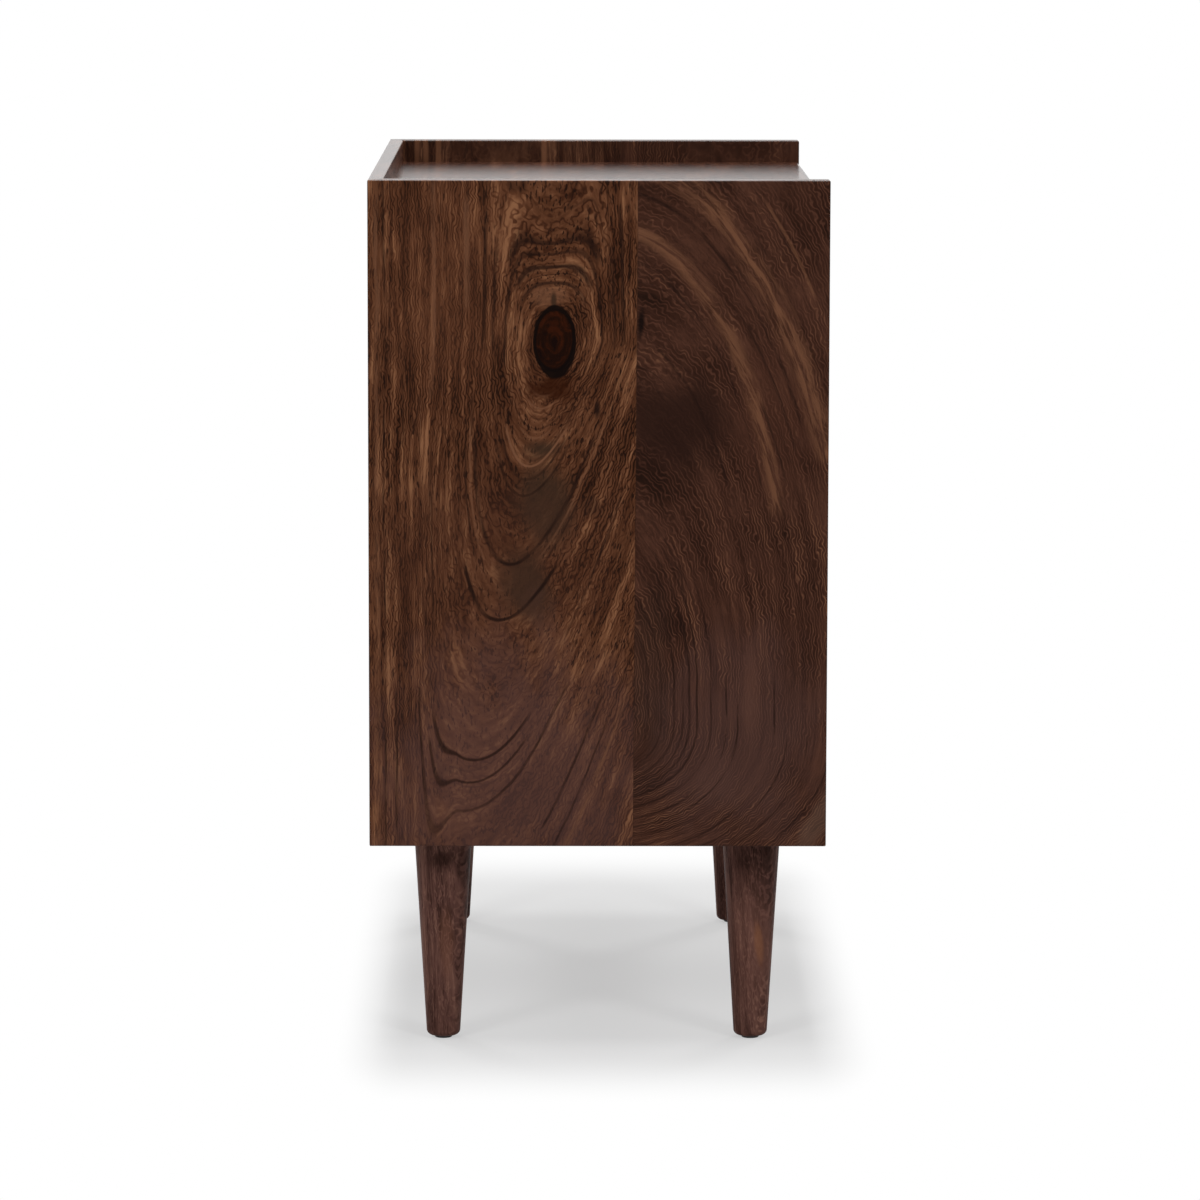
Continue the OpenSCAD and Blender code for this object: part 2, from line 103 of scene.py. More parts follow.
@dataclass(frozen=True)
class Value:
    """A number in a shader, on which the operators of Python add Math nodes.

    Attributes:
        graph: The graph that the socket belongs to.
        socket: The output that carries the number.
    """

    graph: Graph
    socket: Link

    def __add__(self, other: Number) -> Value:
        """Sum."""
        return self.graph.math("ADD", self, other)

    __radd__ = __add__

    def __sub__(self, other: Number) -> Value:
        """Difference."""
        return self.graph.math("SUBTRACT", self, other)

    def __rsub__(self, other: Number) -> Value:
        """Difference from a number."""
        return self.graph.math("SUBTRACT", other, self)

    def __mul__(self, other: Number) -> Value:
        """Product."""
        return self.graph.math("MULTIPLY", self, other)

    __rmul__ = __mul__

    def __truediv__(self, other: Number) -> Value:
        """Quotient."""
        return self.graph.math("DIVIDE", self, other)

    def __rtruediv__(self, other: Number) -> Value:
        """Quotient of a number by this."""
        return self.graph.math("DIVIDE", other, self)

    def __pow__(self, other: Number) -> Value:
        """Power."""
        return self.graph.math("POWER", self, other)

    def __neg__(self) -> Value:
        """The opposite number."""
        return self.graph.math("MULTIPLY", self, -1.0)

    def __abs__(self) -> Value:
        """The number without its sign."""
        return self.graph.math("ABSOLUTE", self)

    def at_least(self, other: Number) -> Value:
        """The larger of the two."""
        return self.graph.math("MAXIMUM", self, other)

    def at_most(self, other: Number) -> Value:
        """The smaller of the two."""
        return self.graph.math("MINIMUM", self, other)

    def root(self) -> Value:
        """The square root."""
        return self.graph.math("SQRT", self)

    def decay(self, reach: float) -> Value:
        """Falls from 1 at 0 by the factor e over each reach."""
        return self.graph.math("EXPONENT", self * (-1.0 / reach))

    def rise(self, low: float, high: float, top: float = 1.0) -> Value:
        """Goes smoothly from 0 at low to top at high; with low above high it falls.

        Args:
            low: The number at which the result is 0.
            high: The number at which the result is top.
            top: The highest result.

        Returns:
            The smooth step.
        """
        ends = (low, high, 0.0, top) if low < high else (high, low, top, 0.0)
        names = ("From Min", "From Max", "To Min", "To Max")
        inputs = {"Value": self, **dict(zip(names, ends))}
        step = self.graph.node("ShaderNodeMapRange", {"interpolation_type": "SMOOTHSTEP"}, inputs)
        return Value(self.graph, step.outputs["Result"])

    def hump(self, middle: float, reach: float) -> Value:
        """A smooth hump of height 1.

        Args:
            middle: The number at which it is highest.
            reach: How far from there it has died away.

        Returns:
            The hump.
        """
        return abs(self - middle).rise(reach, 0.0)


Number = Union[Value, float, int]
Spot = Union[Link, tuple[Number, Number, Number]]


class Graph:
    """The nodes of one material or world."""

    def __init__(self, owner: bpy.types.Material | bpy.types.World) -> None:
        """Empties the owner's nodes.

        Args:
            owner: The material or world that the nodes belong to.
        """
        owner.use_nodes = True
        self.tree = owner.node_tree
        self.tree.nodes.clear()
        self._place: tuple[Value, Value, Value] | None = None

    @classmethod
    def of_material(cls, name: str) -> tuple[bpy.types.Material, Graph]:
        """Makes a material and its empty graph."""
        material = bpy.data.materials.new(name)
        return material, cls(material)

    def node(self, kind: str, settings: dict[str, Any], inputs: dict[Any, Any]) -> bpy.types.Node:
        """Adds a node.

        Args:
            kind: The node's type.
            settings: What is set on the node before its sockets; "stops" are the stops of a ramp.
            inputs: Values or links, by the name or the index of the socket.

        Returns:
            The node.
        """
        made = self.tree.nodes.new(kind)
        for key, setting in settings.items():
            if key == "stops":
                self._set_stops(made.color_ramp, setting)
            else:
                setattr(made, key, setting)
        for key, given in inputs.items():
            if isinstance(given, Value):
                given = given.socket
            if isinstance(given, Link):
                self.tree.links.new(given, made.inputs[key])
            else:
                made.inputs[key].default_value = given
        return made

    @staticmethod
    def _set_stops(ramp: bpy.types.ColorRamp, stops: Sequence[tuple[float, Colour]]) -> None:
        """Puts the stops on a colour ramp.

        Args:
            ramp: The ramp.
            stops: Places from 0 to 1 with their colours.
        """
        while len(ramp.elements) < len(stops):
            ramp.elements.new(1.0)
        for element, (place, colour) in zip(ramp.elements, stops):
            element.position = place
            element.color = colour

    def math(self, operation: str, *terms: Number) -> Value:
        """Adds a Math node on the terms."""
        made = self.node("ShaderNodeMath", {"operation": operation}, dict(enumerate(terms)))
        return Value(self, made.outputs[0])

    def place(self) -> tuple[Value, Value, Value]:
        """Reads the point of the piece.

        Returns:
            Its x, y and z in millimetres.
        """
        if self._place is None:
            spot = self.node("ShaderNodeTexCoord", {}, {}).outputs["Object"]
            inputs = {0: spot, "Scale": MM_PER_METRE}
            scaled = self.node("ShaderNodeVectorMath", {"operation": "SCALE"}, inputs).outputs[0]
            parts = self.node("ShaderNodeSeparateXYZ", {}, {0: scaled})
            self._place = tuple(Value(self, parts.outputs[i]) for i in range(3))
        return self._place

    def from_back(self) -> Value:
        """Millimetres from the back edge of the case."""
        return HALF_DEPTH - self.place()[1]

    def seen(self) -> Value:
        """Tells the rays that look from those that only light.

        Returns:
            1 for the rays that look, straight or by a gloss or through glass, 0 for the others.
        """
        rays = self.node("ShaderNodeLightPath", {}, {}).outputs
        kinds = ("Camera", "Glossy", "Transmission")
        camera, gloss, glass = (Value(self, rays[f"Is {kind} Ray"]) for kind in kinds)
        return camera.at_least(gloss).at_least(glass)

    def fray(self) -> Value:
        """How far the edges of soft patches stray here, as a share of their size."""
        x, y, z = self.place()
        return (self.noise((y * 0.035, z * 0.02, x * 0.03), detail=3, rough=0.6) - 0.5) * 1.1

    def facing_up(self) -> Value:
        """Tells where the surface faces up.

        Returns:
            1 where it faces up, 0 where it stands or faces down.
        """
        normal = self.node("ShaderNodeTexCoord", {}, {}).outputs["Normal"]
        parts = self.node("ShaderNodeSeparateXYZ", {}, {0: normal})
        return Value(self, parts.outputs[2]).rise(0.5, 0.9)

    def vector(self, x: Number, y: Number, z: Number) -> Link:
        """A vector from three numbers."""
        return self.node("ShaderNodeCombineXYZ", {}, {0: x, 1: y, 2: z}).outputs[0]

    def noise(
        self, at: Spot, scale: float = 1.0, detail: float = 2.0, rough: float = 0.5, twist: float = 0.0
    ) -> Value:
        """Soft noise around 0.5.

        Args:
            at: The point to read it at, as a vector or as three numbers.
            scale: Its scale.
            detail: How many finer layers it has.
            rough: How strong the finer layers are.
            twist: How much it is distorted.

        Returns:
            The noise.
        """
        if isinstance(at, tuple):
            at = self.vector(*at)
        inputs = {"Vector": at, "Scale": scale, "Detail": detail, "Roughness": rough, "Distortion": twist}
        return Value(self, self.node("ShaderNodeTexNoise", {}, inputs).outputs[0])

    def contours(self, field: Value) -> Value:
        """Lines where a field passes a whole number: 1 on a line, 0 between the lines."""
        return abs(self.math("FRACT", field) - 0.5).rise(0.22, 0.46)

    def cells(self, at: Link, scale: float) -> Value:
        """Distance to the nearest of scattered points."""
        made = self.node("ShaderNodeTexVoronoi", {}, {"Vector": at, "Scale": scale})
        return Value(self, made.outputs["Distance"])

    def blend(self, share: Number, low: Colour | Link, high: Colour | Link) -> Link:
        """Mixes two colours.

        Args:
            share: 0 for the first colour, 1 for the second.
            low: The first colour.
            high: The second colour.

        Returns:
            The mixed colour.
        """
        return self.node("ShaderNodeMix", {"data_type": "RGBA"}, {0: share, 6: low, 7: high}).outputs[2]

    def ramp(self, at: Number, stops: Sequence[tuple[float, Colour]]) -> Link:
        """A colour from a ramp."""
        return self.node("ShaderNodeValToRGB", {"stops": stops}, {0: at}).outputs[0]

    def bump(self, height: Number, depth: float) -> Link:
        """A normal that follows a height from 0 to 1.

        Args:
            height: The height.
            depth: What the height 1 means, in metres.

        Returns:
            The normal.
        """
        return self.node("ShaderNodeBump", {}, {"Height": height, "Distance": depth}).outputs[0]

    def finish(self, **sockets: Any) -> None:
        """Closes the material with a Principled shader.

        Args:
            **sockets: Its sockets, with _ for a space in the name.
        """
        inputs = {key.replace("_", " "): given for key, given in sockets.items()}
        shader = self.node("ShaderNodeBsdfPrincipled", {}, inputs)
        self.node("ShaderNodeOutputMaterial", {}, {0: shader.outputs[0]})


@dataclass(frozen=True)
class Figure:
    """Where a point lies in the tree.

    Attributes:
        rings: Millimetres of growth from the pith.
        along: Millimetres along the fibres.
        beside: Millimetres across the board.
        pull: Millimetres of growth per millimetre of board.
    """

    rings: Value
    along: Value
    beside: Value
    pull: Number = 1.0


class Cut(ABC):
    """How a board was cut from the tree."""

    @abstractmethod
    def figure(self, graph: Graph) -> Figure:
        """Gives the figure of the board."""


@dataclass(frozen=True)
class StraightCut(Cut):
    """A board whose fibres run along one axis, cut beside the pith of the tree.

    Attributes:
        fibres: The axis of the fibres.
        pith: Where the pith passes, on the two other axes, in millimetres.
        lean: How much the pith drifts per millimetre along the fibres.
        wander: How far the rings stray from clean circles, in millimetres.
        seed: Sets this board apart from the others.
    """

    fibres: Axis
    pith: Pair
    lean: float = 0.06
    wander: float = 24.0
    seed: float = 0.0

    def figure(self, graph: Graph) -> Figure:
        """Gives the figure of the board.

        Args:
            graph: The graph of its material.

        Returns:
            Its rings, which are round the pith and waver along the fibres.
        """
        place = graph.place()
        along = place[self.fibres.value]
        across, deep = [part for index, part in enumerate(place) if index != self.fibres.value]
        drift = graph.noise((along * 0.0035 + self.seed, across * 0.006, deep * 0.006), detail=1) - 0.5
        ripple = graph.noise((along * 0.014, across * 0.05 + self.seed, deep * 0.05), detail=2) - 0.5
        u = across - self.pith[0] + drift * self.wander
        v = deep - self.pith[1] + along * self.lean
        rings = (u * u + v * v).root() + ripple * 1.6 + self.seed * 7.0
        return Figure(rings, along + self.seed * 100.0, (across + deep) * 3.0)


@dataclass(frozen=True)
class Stretch:
    """How the rings on one side of their middle are drawn out along the board.

    Attributes:
        slope: Millimetres of ring per millimetre of board, far away.
        swell: Extra millimetres of ring near the middle.
        reach: How far from the middle the extra is gathered.
    """

    slope: float
    swell: float = 0.0
    reach: float = 25.0

    def rings(self, far: Value) -> Value:
        """The ring at a distance from the middle."""
        gathered = 1.0 - far.decay(self.reach)
        return far * self.slope + gathered * self.swell

    def pull(self, far: Value) -> Value:
        """The ring per millimetre of board at a distance from the middle."""
        return self.slope + far.decay(self.reach) * (self.swell / self.reach)


@dataclass(frozen=True)
class OvalCut(Cut):
    """A flat-sawn board on the side of the case, with nested ovals drawn out along it.

    Attributes:
        middle: Where the ovals close in, as millimetres from the back edge and above the floor.
        up: How they are drawn out above it.
        down: How they are drawn out below it.
        lean: How far they lean towards the front per millimetre of height below the middle.
        straight: Up to which distance from the back edge the fibres run straight, or 0.
        bend: Over how much further they bend into the ovals, in millimetres.
        spread: How far to the sides the ovals close in above their middle.
        wander: How far the rings stray from clean ovals, in millimetres.
        seed: Sets this board apart from the others.
    """

    middle: Pair
    up: Stretch
    down: Stretch
    lean: float = 0.0
    straight: float = 0.0
    bend: float = 45.0
    spread: float = 4000.0
    wander: float = 14.0
    seed: float = 0.0

    def figure(self, graph: Graph) -> Figure:
        """Gives the figure of the board.

        Args:
            graph: The graph of its material.

        Returns:
            Its rings, as they lie on the side of the case.
        """
        x, y, z = graph.place()
        slow = graph.vector(y * 0.011 + self.seed, z * 0.006, x * 0.02)
        fast = graph.vector(y * 0.05, z * 0.03 + self.seed, x * 0.05)
        wander = graph.noise(slow, detail=2) - 0.5
        waver = graph.noise(fast, detail=3) - 0.5
        depth = graph.from_back() + wander * self.wander + waver * (0.3 * self.wander)
        height = z - self.middle[1] + (graph.noise(slow, scale=1.3, detail=1) - 0.5) * (2.0 * self.wander)
        low, high = height.at_most(0.0), height.at_least(0.0)
        sideways = depth - self.middle[0] - low * self.lean
        near = (sideways * sideways).decay(self.spread**2)
        lengthways = self.up.rings(high) * near + self.down.rings(-low)
        rings = (sideways * sideways + lengthways * lengthways).root()
        above = height.rise(-2.0, 2.0)
        steep = self.up.pull(high) * near * above + self.down.pull(-low) * (1.0 - above)
        pull = (sideways * sideways + (lengthways * steep) ** 2.0).root() / rings.at_least(1.0)
        if self.straight:
            upright = self.middle[0] - depth
            share = depth.rise(self.straight + self.bend, self.straight)
            rings = rings + (upright - rings) * share
            pull = pull + (1.0 - pull) * share
        rings = rings + (abs(x) - HALF_WIDTH) * 0.25
        return Figure(rings, z + self.seed * 100.0, depth, pull.at_least(0.12))


@dataclass(frozen=True)
class WoodFinish:
    """The colours and pores of a wood, and the lacquer on it.

    Attributes:
        tones: Colours from the darkest to the palest fibre.
        line: The colour of the late wood that ends a ring.
        pore: The colour of the pores.
        lines: How clearly rings end, from 0 to 1.
        pores: How clearly pores show, from 0 to 1.
        fibre: How much the fibres differ.
        band: How much one year's growth differs from the next.
        blotch: How much broad patches differ.
        veins: How much darker the fine curled lines are than the wood, or how much paler if below 0.
        gloss: The roughness of the lacquer.
        shine: The specular level of the lacquer.
        relief: The depth of the open pores, in metres.
        polish: How much polish the faces that look up have over the lacquer.
    """

    tones: tuple[Colour, ...]
    line: Colour
    pore: Colour
    lines: float = 0.6
    pores: float = 0.7
    fibre: float = 1.0
    band: float = 1.0
    blotch: float = 1.0
    veins: float = 0.1
    gloss: float = 0.32
    shine: float = 0.04
    relief: float = 0.00005
    polish: float = 0.7

    def surface(self, graph: Graph, figure: Figure, seed: float = 0.0) -> tuple[Link, Value, Value]:
        """Works out what the wood shows at each point.

        Args:
            graph: The graph of its material.
            figure: Where the point lies in the tree.
            seed: Sets this board apart from the others.

        Returns:
            The colour, the height of the surface from 0 to 1, and how open the pores are.
        """
        rings, along, beside = figure.rings, figure.along, figure.beside
        bands = graph.noise((rings * 0.07 + seed, along * 0.003, beside * 0.003), detail=3, rough=0.6)
        streaks = graph.noise((rings * 0.22, along * 0.011, beside * 0.02 + seed), detail=2, rough=0.55)
        fibres = graph.noise((rings * 0.85, along * 0.05 + seed, beside * 0.1), detail=2, rough=0.6)
        patches = graph.noise((rings * 0.025, along * 0.022, beside * 0.02 + seed), detail=2)
        swirl = graph.noise((beside * 0.13, along * 0.11 + seed, rings * 0.04), detail=1)
        even = figure.pull * 0.8 + 0.3
        veins = graph.contours(rings * 0.44 + swirl * 3.4) * patches.rise(0.75, 0.35) * (even + 0.2)
        tone = (
            0.5
            + (bands - 0.5) * (0.65 * self.band)
            + (streaks - 0.5) * even * (0.95 * self.fibre)
            + (fibres - 0.5) * (0.7 * self.fibre)
            + (patches - 0.5) * (0.8 * self.blotch)
            + (0.25 - veins) * self.veins
        )
        count = len(self.tones) - 1
        colour = graph.ramp(tone, [(0.12 + 0.76 * i / count, shade) for i, shade in enumerate(self.tones)])
        edge = graph.noise((rings * 0.085, along * 0.0035 + seed, beside * 0.004), detail=2, rough=0.45)
        late = abs(edge - 0.5).rise(0.014, 0.0) * bands.rise(0.35, 0.6)
        colour = graph.blend(late * self.lines, colour, self.line)
        open_pores = graph.noise((rings * 0.8, along * 0.12 + seed, beside * 0.5), detail=1)
        pored = open_pores.rise(0.57, 0.65) * streaks.rise(0.7, 0.45)
        colour = graph.blend(pored * self.pores, colour, self.pore)
        return colour, fibres * 0.3 + (1.0 - pored.at_least(veins * abs(self.veins))) * 0.7, pored

    def material(self, name: str, cut: Cut, marks: Sequence[Patch] = ()) -> bpy.types.Material:
        """Makes the material of one board.

        Args:
            name: The name of the material.
            cut: How the board was cut.
            marks: Soft patches on it.

        Returns:
            The material.
        """
        material, graph = Graph.of_material(name)
        colour, height, pored = self.surface(graph, cut.figure(graph))
        for mark in marks:
            colour = mark.paint(graph, colour, graph.fray())
        self.close(graph, colour, height, pored)
        return material

    def close(self, graph: Graph, colour: Link, height: Value, pored: Value) -> None:
        """Closes a material with this finish's lacquer.

        Args:
            graph: The graph of the material.
            colour: The colour of the wood.
            height: The height of the surface from 0 to 1.
            pored: How open the pores are.
        """
        graph.finish(
            Base_Color=colour,
            Roughness=self.gloss + pored * 0.25 + (height - 0.6) * 0.08,
            Normal=graph.bump(height, self.relief),
            Specular_IOR_Level=self.shine,
            Coat_Weight=graph.facing_up() * self.polish,
            Coat_Roughness=0.2,
        )


@dataclass(frozen=True)
class Knot:
    """A knot on the side of the case.

    Attributes:
        middle: Its middle, as millimetres from the back edge and above the floor.
        half: Half its width and half its height, in millimetres.
        sunk: How far below its middle the stained wood lies, in halves of its height.
        stain: The colour of the stained wood.
        heart: The colours of its own wood, from the darkest.
        bark: The colour of the ring round it.
    """

    middle: Pair
    half: Pair
    sunk: float = 1.42
    stain: Colour = tint(44, 15, 1)
    heart: tuple[Colour, ...] = tones((12, 1, 0), (26, 6, 0), (46, 15, 2))
    bark: Colour = tint(7, 1, 0)

    def paint(self, graph: Graph, colour: Link) -> Link:
        """Draws the knot and the stained wood under it.

        Args:
            graph: The graph of the panel's material.
            colour: The colour of the wood around it.

        Returns:
            The colour with the knot in it.
        """
        x, y, z = graph.place()
        wobble = graph.noise((y * 0.06, z * 0.06, x * 0.06), detail=2) - 0.5
        across = (graph.from_back() - self.middle[0]) / self.half[0]
        up = (z - self.middle[1]) / self.half[1]
        far = (across * across + up * up).root() + wobble * 0.16
        below = up + self.sunk
        stain_at = ((across * across) * 0.5 + (below * below) * 4.5).root() + wobble * 1.4
        colour = graph.blend(stain_at.rise(1.2, 0.3) * 0.85, colour, self.stain)
        rings = graph.noise((far * 4.0, wobble * 6.0, up * 0.8), detail=2, rough=0.6)
        heart = graph.ramp(rings, list(zip((0.3, 0.5, 0.7), self.heart)))
        dark_core = (abs(across) * 2.6 + abs(up + 0.02) * 2.2 + up * 0.9 + wobble).rise(0.5, 0.3)
        heart = graph.blend(dark_core * 0.85, heart, self.heart[0])
        colour = graph.blend(far.rise(1.0, 0.9), colour, heart)
        heavy = 0.10 + (across * 0.35 - up * 0.75).rise(0.0, 1.3) * 0.13
        ring = abs(far - 0.98) / heavy
        return graph.blend(ring.rise(1.05, 0.55) * 0.96, colour, self.bark)


@dataclass(frozen=True)
class Stripe:
    """A band along one ring of a board: late wood if dark; if pale, paler fibres with a painted sheen where
    they catch the light.

    Attributes:
        ring: The ring, in millimetres.
        reach: Half the width of the band, in millimetres of board.
        colour: Its colour.
        strength: How much of the colour shows.
        low: The height above the floor from which it shows, in millimetres.
        high: The height up to which it shows.
        lean: How far the band leaves its ring per millimetre above the height low.
        grain: How much the fibres break it up, from 0 to 1.
        core: The share of its reach over which it is at its full strength.
    """

    ring: float
    reach: float
    colour: Colour
    strength: float = 0.7
    low: float = 150.0
    high: float = 700.0
    lean: float = 0.0
    grain: float = 0.4
    core: float = 0.25

    def paint(self, graph: Graph, colour: Link, figure: Figure, broken: Value) -> Link:
        """Draws the band.

        Args:
            graph: The graph of the panel's material.
            colour: The colour of the wood.
            figure: Where the point lies in the tree.
            broken: How much the fibres break up bands here, from 0 to 1.

        Returns:
            The colour with the band in it.
        """
        height = graph.place()[2]
        rings = figure.rings - (height - self.low) * self.lean if self.lean else figure.rings
        off = abs(rings - self.ring) / figure.pull
        share = off.rise(self.reach, self.core * self.reach, self.strength) * (1.0 - broken * self.grain)
        fade = height.rise(self.low - 6.0, self.low + 6.0) * height.rise(self.high + 6.0, self.high - 6.0)
        return graph.blend(share * fade, colour, self.colour)


@dataclass(frozen=True)
class Patch:
    """A soft patch of another tone on the side of the case.

    Attributes:
        middle: Its middle, as millimetres from the back edge and above the floor.
        half: Half its width and half its height, in millimetres.
        colour: The tone that it is mixed with.
        strength: How much of the tone shows.
        turn: How far it is turned, in degrees.
    """

    middle: Pair
    half: Pair
    colour: Colour
    strength: float = 0.5
    turn: float = 0.0

    def paint(self, graph: Graph, colour: Link, fray: Value) -> Link:
        """Draws the patch.

        Args:
            graph: The graph of the panel's material.
            colour: The colour of the wood.
            fray: How far its edge strays here, as a share of its size.

        Returns:
            The colour with the patch in it.
        """
        right = graph.from_back() - self.middle[0]
        up = graph.place()[2] - self.middle[1]
        turn = math.radians(self.turn)
        cosine, sine = math.cos(turn), math.sin(turn)
        across = (right * cosine + up * sine) / self.half[0]
        along = (up * cosine - right * sine) / self.half[1]
        far = (across * across + along * along).root() + fray
        return graph.blend(far.rise(1.25, 0.35, self.strength), colour, self.colour)


@dataclass(frozen=True)
class GluedPanel:
    """A side of the case: two boards glued edge to edge, with a rail's worth standing above the tray.

    Attributes:
        back_board: How the board at the back was cut.
        front_board: How the board at the front was cut.
        back_wood: The finish of the board at the back.
        front_wood: The finish of the board at the front.
        joint: How far the joint is from the back edge, at the top and at the bottom, in millimetres.
        knots: The knots in it.
        back_stripes: The bands along the rings of the board at the back.
        front_stripes: The bands along the rings of the board at the front.
        back_patches: The soft patches on the board at the back.
        front_patches: The soft patches on the board at the front.
        seeds: Set the wood of the board at the back and of that at the front apart from others.
        glue: The colour of the glue line between them.
    """

    back_board: OvalCut
    front_board: OvalCut
    back_wood: WoodFinish
    front_wood: WoodFinish
    joint: Pair
    knots: tuple[Knot, ...] = ()
    back_stripes: tuple[Stripe, ...] = ()
    front_stripes: tuple[Stripe, ...] = ()
    back_patches: tuple[Patch, ...] = ()
    front_patches: tuple[Patch, ...] = ()
    seeds: Pair = (3.7, 9.1)
    glue: Colour = tint(40, 24, 17)

    def material(self, name: str) -> bpy.types.Material:
        """Makes the material of the panel.

        Args:
            name: The name of the material.

        Returns:
            The material.
        """
        material, graph = Graph.of_material(name)
        _, _, z = graph.place()
        fray = graph.fray()
        boards = []
        for board, wood, patches, stripes, seed in (
            (self.back_board, self.back_wood, self.back_patches, self.back_stripes, self.seeds[0]),
            (self.front_board, self.front_wood, self.front_patches, self.front_stripes, self.seeds[1]),
        ):
            figure = board.figure(graph)
            colour, height, pored = wood.surface(graph, figure, seed)
            across = graph.vector(figure.along * 0.03, seed, figure.rings * 0.35)
            broken = graph.noise(across, detail=3, rough=0.6).rise(0.58, 0.42)
            for patch in patches:
                colour = patch.paint(graph, colour, fray)
            for stripe in stripes:
                colour = stripe.paint(graph, colour, figure, broken)
            boards.append((colour, height, pored))
        (back, back_height, back_pores), (front, front_height, front_pores) = boards
        top, bottom = self.joint
        joint = bottom + (z - CASE_BOTTOM) * ((top - bottom) / (CASE_TOP - CASE_BOTTOM))
        seam = graph.from_back() - joint
        share = seam.rise(-0.2, 0.2)
        for knot in self.knots:
            back = knot.paint(graph, back)
        colour = graph.blend(share, back, front)
        line = seam.hump(0.0, 0.6) * 0.5
        colour = graph.blend(line, colour, self.glue)
        height = back_height + (front_height - back_height) * share - line * 0.6
        pored = back_pores + (front_pores - back_pores) * share
        self.back_wood.close(graph, colour, height, pored)
        return material


@dataclass(frozen=True)
class PlyFinish:
    """Birch plywood: pale faces and the layers of its edge.

    Attributes:
        face: The finish of its faces.
        layer: The thickness of one layer, in millimetres.
        glue: The colour of the layers that are seen end on.
    """

    face: WoodFinish
    layer: float = 1.2
    glue: Colour = tint(150, 112, 70)

    def material(self, name: str, cut: StraightCut, base: float) -> bpy.types.Material:
        """Makes the material of a lying sheet.

        Args:
            name: The name of the material.
            cut: How its face was cut.
            base: The height of its lower face, in millimetres.

        Returns:
            The material.
        """
        material, graph = Graph.of_material(name)
        colour, height, pored = self.face.surface(graph, cut.figure(graph))
        _, _, z = graph.place()
        turn = graph.math("FRACT", (z - base) / (2.0 * self.layer))
        colour = graph.blend(turn.rise(0.46, 0.54) * 0.55, colour, self.glue)
        self.face.close(graph, colour, height, pored)
        return material


@dataclass(frozen=True)
class MetalFinish:
    """A plated metal.

    Attributes:
        name: The name of its material.
        bright: Its palest colour.
        dull: Its darkest colour.
        gloss: Its roughness.
        drawn: The axis along which it was rolled or drawn.
        cloud: How strongly the plating clouds.
    """

    name: str
    bright: Colour
    dull: Colour
    gloss: float = 0.28
    drawn: Axis = Axis.Y
    cloud: float = 1.0

    def material(self) -> bpy.types.Material:
        """Makes the material.

        Returns:
            The material.
        """
        material, graph = Graph.of_material(self.name)
        place = graph.place()
        cloudy = graph.noise(place, scale=0.045, detail=3, rough=0.6)
        spangle = graph.cells(graph.vector(*place), 0.22)
        stretched = tuple(part * (0.02 if i == self.drawn.value else 1.6) for i, part in enumerate(place))
        lines = graph.noise(stretched, detail=2, rough=0.6)
        plated = (cloudy - 0.5) * (1.2 * self.cloud) + (lines - 0.5) * 0.6
        tone = 0.5 + plated + (spangle - 0.5) * (0.18 * self.cloud)
        colour = graph.ramp(tone, [(0.25, self.dull), (0.7, self.bright)])
        rough = self.gloss + (cloudy - 0.5) * 0.16 + (lines - 0.5) * 0.12
        normal = graph.bump(lines * 0.6 + cloudy * 0.4, 0.00003)
        graph.finish(Base_Color=colour, Metallic=1.0, Roughness=rough, Normal=normal)
        return material


@dataclass(frozen=True)
class NylonFinish:
    """Moulded nylon, matt and a little scuffed.

    Attributes:
        name: The name of its material.
        colour: The colour of the nylon.
        scuffed: The colour where it is scuffed.
    """

    name: str
    colour: Colour = tint(24, 22, 22)
    scuffed: Colour = tint(58, 54, 52)

    def material(self) -> bpy.types.Material:
        """Makes the material.

        Returns:
            The material.
        """
        material, graph = Graph.of_material(self.name)
        spot = graph.vector(*graph.place())
        grain = graph.noise(spot, scale=1.8, detail=3)
        scuff = graph.noise(spot, scale=0.35, detail=4, rough=0.7, twist=0.6).rise(0.56, 0.7) * 0.5
        graph.finish(
            Base_Color=graph.blend(scuff, self.colour, self.scuffed),
            Roughness=0.52 + scuff * 0.25,
            Normal=graph.bump(grain - scuff, 0.00004),
            Specular_IOR_Level=0.4,
        )
        return material


LATE_WOOD = tint(24, 10, 6)
# Pale wood; in the pale bands also a painted sheen of fibres that catch the light.
PALE_WOOD_AND_SHEEN = tint(110, 73, 52)
CHARCOAL = tint(46, 32, 22)
WALNUT = WoodFinish(
    tones((30, 13, 8), (54, 29, 20), (72, 43, 31), (92, 58, 43), (124, 84, 62)),
    tint(26, 11, 7),
    tint(22, 9, 5),
    lines=0.8,
    pores=0.5,
    fibre=0.9,
    band=1.1,
    blotch=0.2,
    polish=1.0,
)
WARM_WALNUT = WoodFinish(
    tones((30, 12, 3), (55, 28, 15), (73, 42, 25), (94, 58, 38), (128, 87, 60)),
    tint(26, 10, 5),
    tint(24, 9, 4),
    lines=0.5,
    pores=0.9,
    band=0.85,
    blotch=0.5,
    veins=0.34,
)
DUSKY_WALNUT = WoodFinish(
    tones((30, 14, 7), (47, 25, 16), (60, 35, 25), (75, 46, 34), (104, 69, 49)),
    tint(30, 15, 10),
    tint(26, 12, 8),
    lines=0.5,
    pores=0.25,
    fibre=0.6,
    blotch=1.1,
    band=0.6,
    veins=-0.34,
)
LEG_WALNUT = WoodFinish(
    tones((44, 27, 22), (70, 46, 40), (89, 60, 53), (106, 74, 64), (128, 92, 78)),
    tint(42, 23, 17),
    tint(36, 18, 13),
    lines=0.6,
    pores=0.5,
    blotch=0.5,
    veins=-0.22,
    gloss=0.4,
    shine=0.02,
)
BROWN_WALNUT = WoodFinish(
    tones((26, 11, 6), (44, 23, 15), (58, 34, 23), (76, 48, 34), (104, 70, 50)),
    tint(24, 10, 6),
    tint(22, 9, 5),
    pores=0.4,
    blotch=0.6,
    veins=-0.16,
)
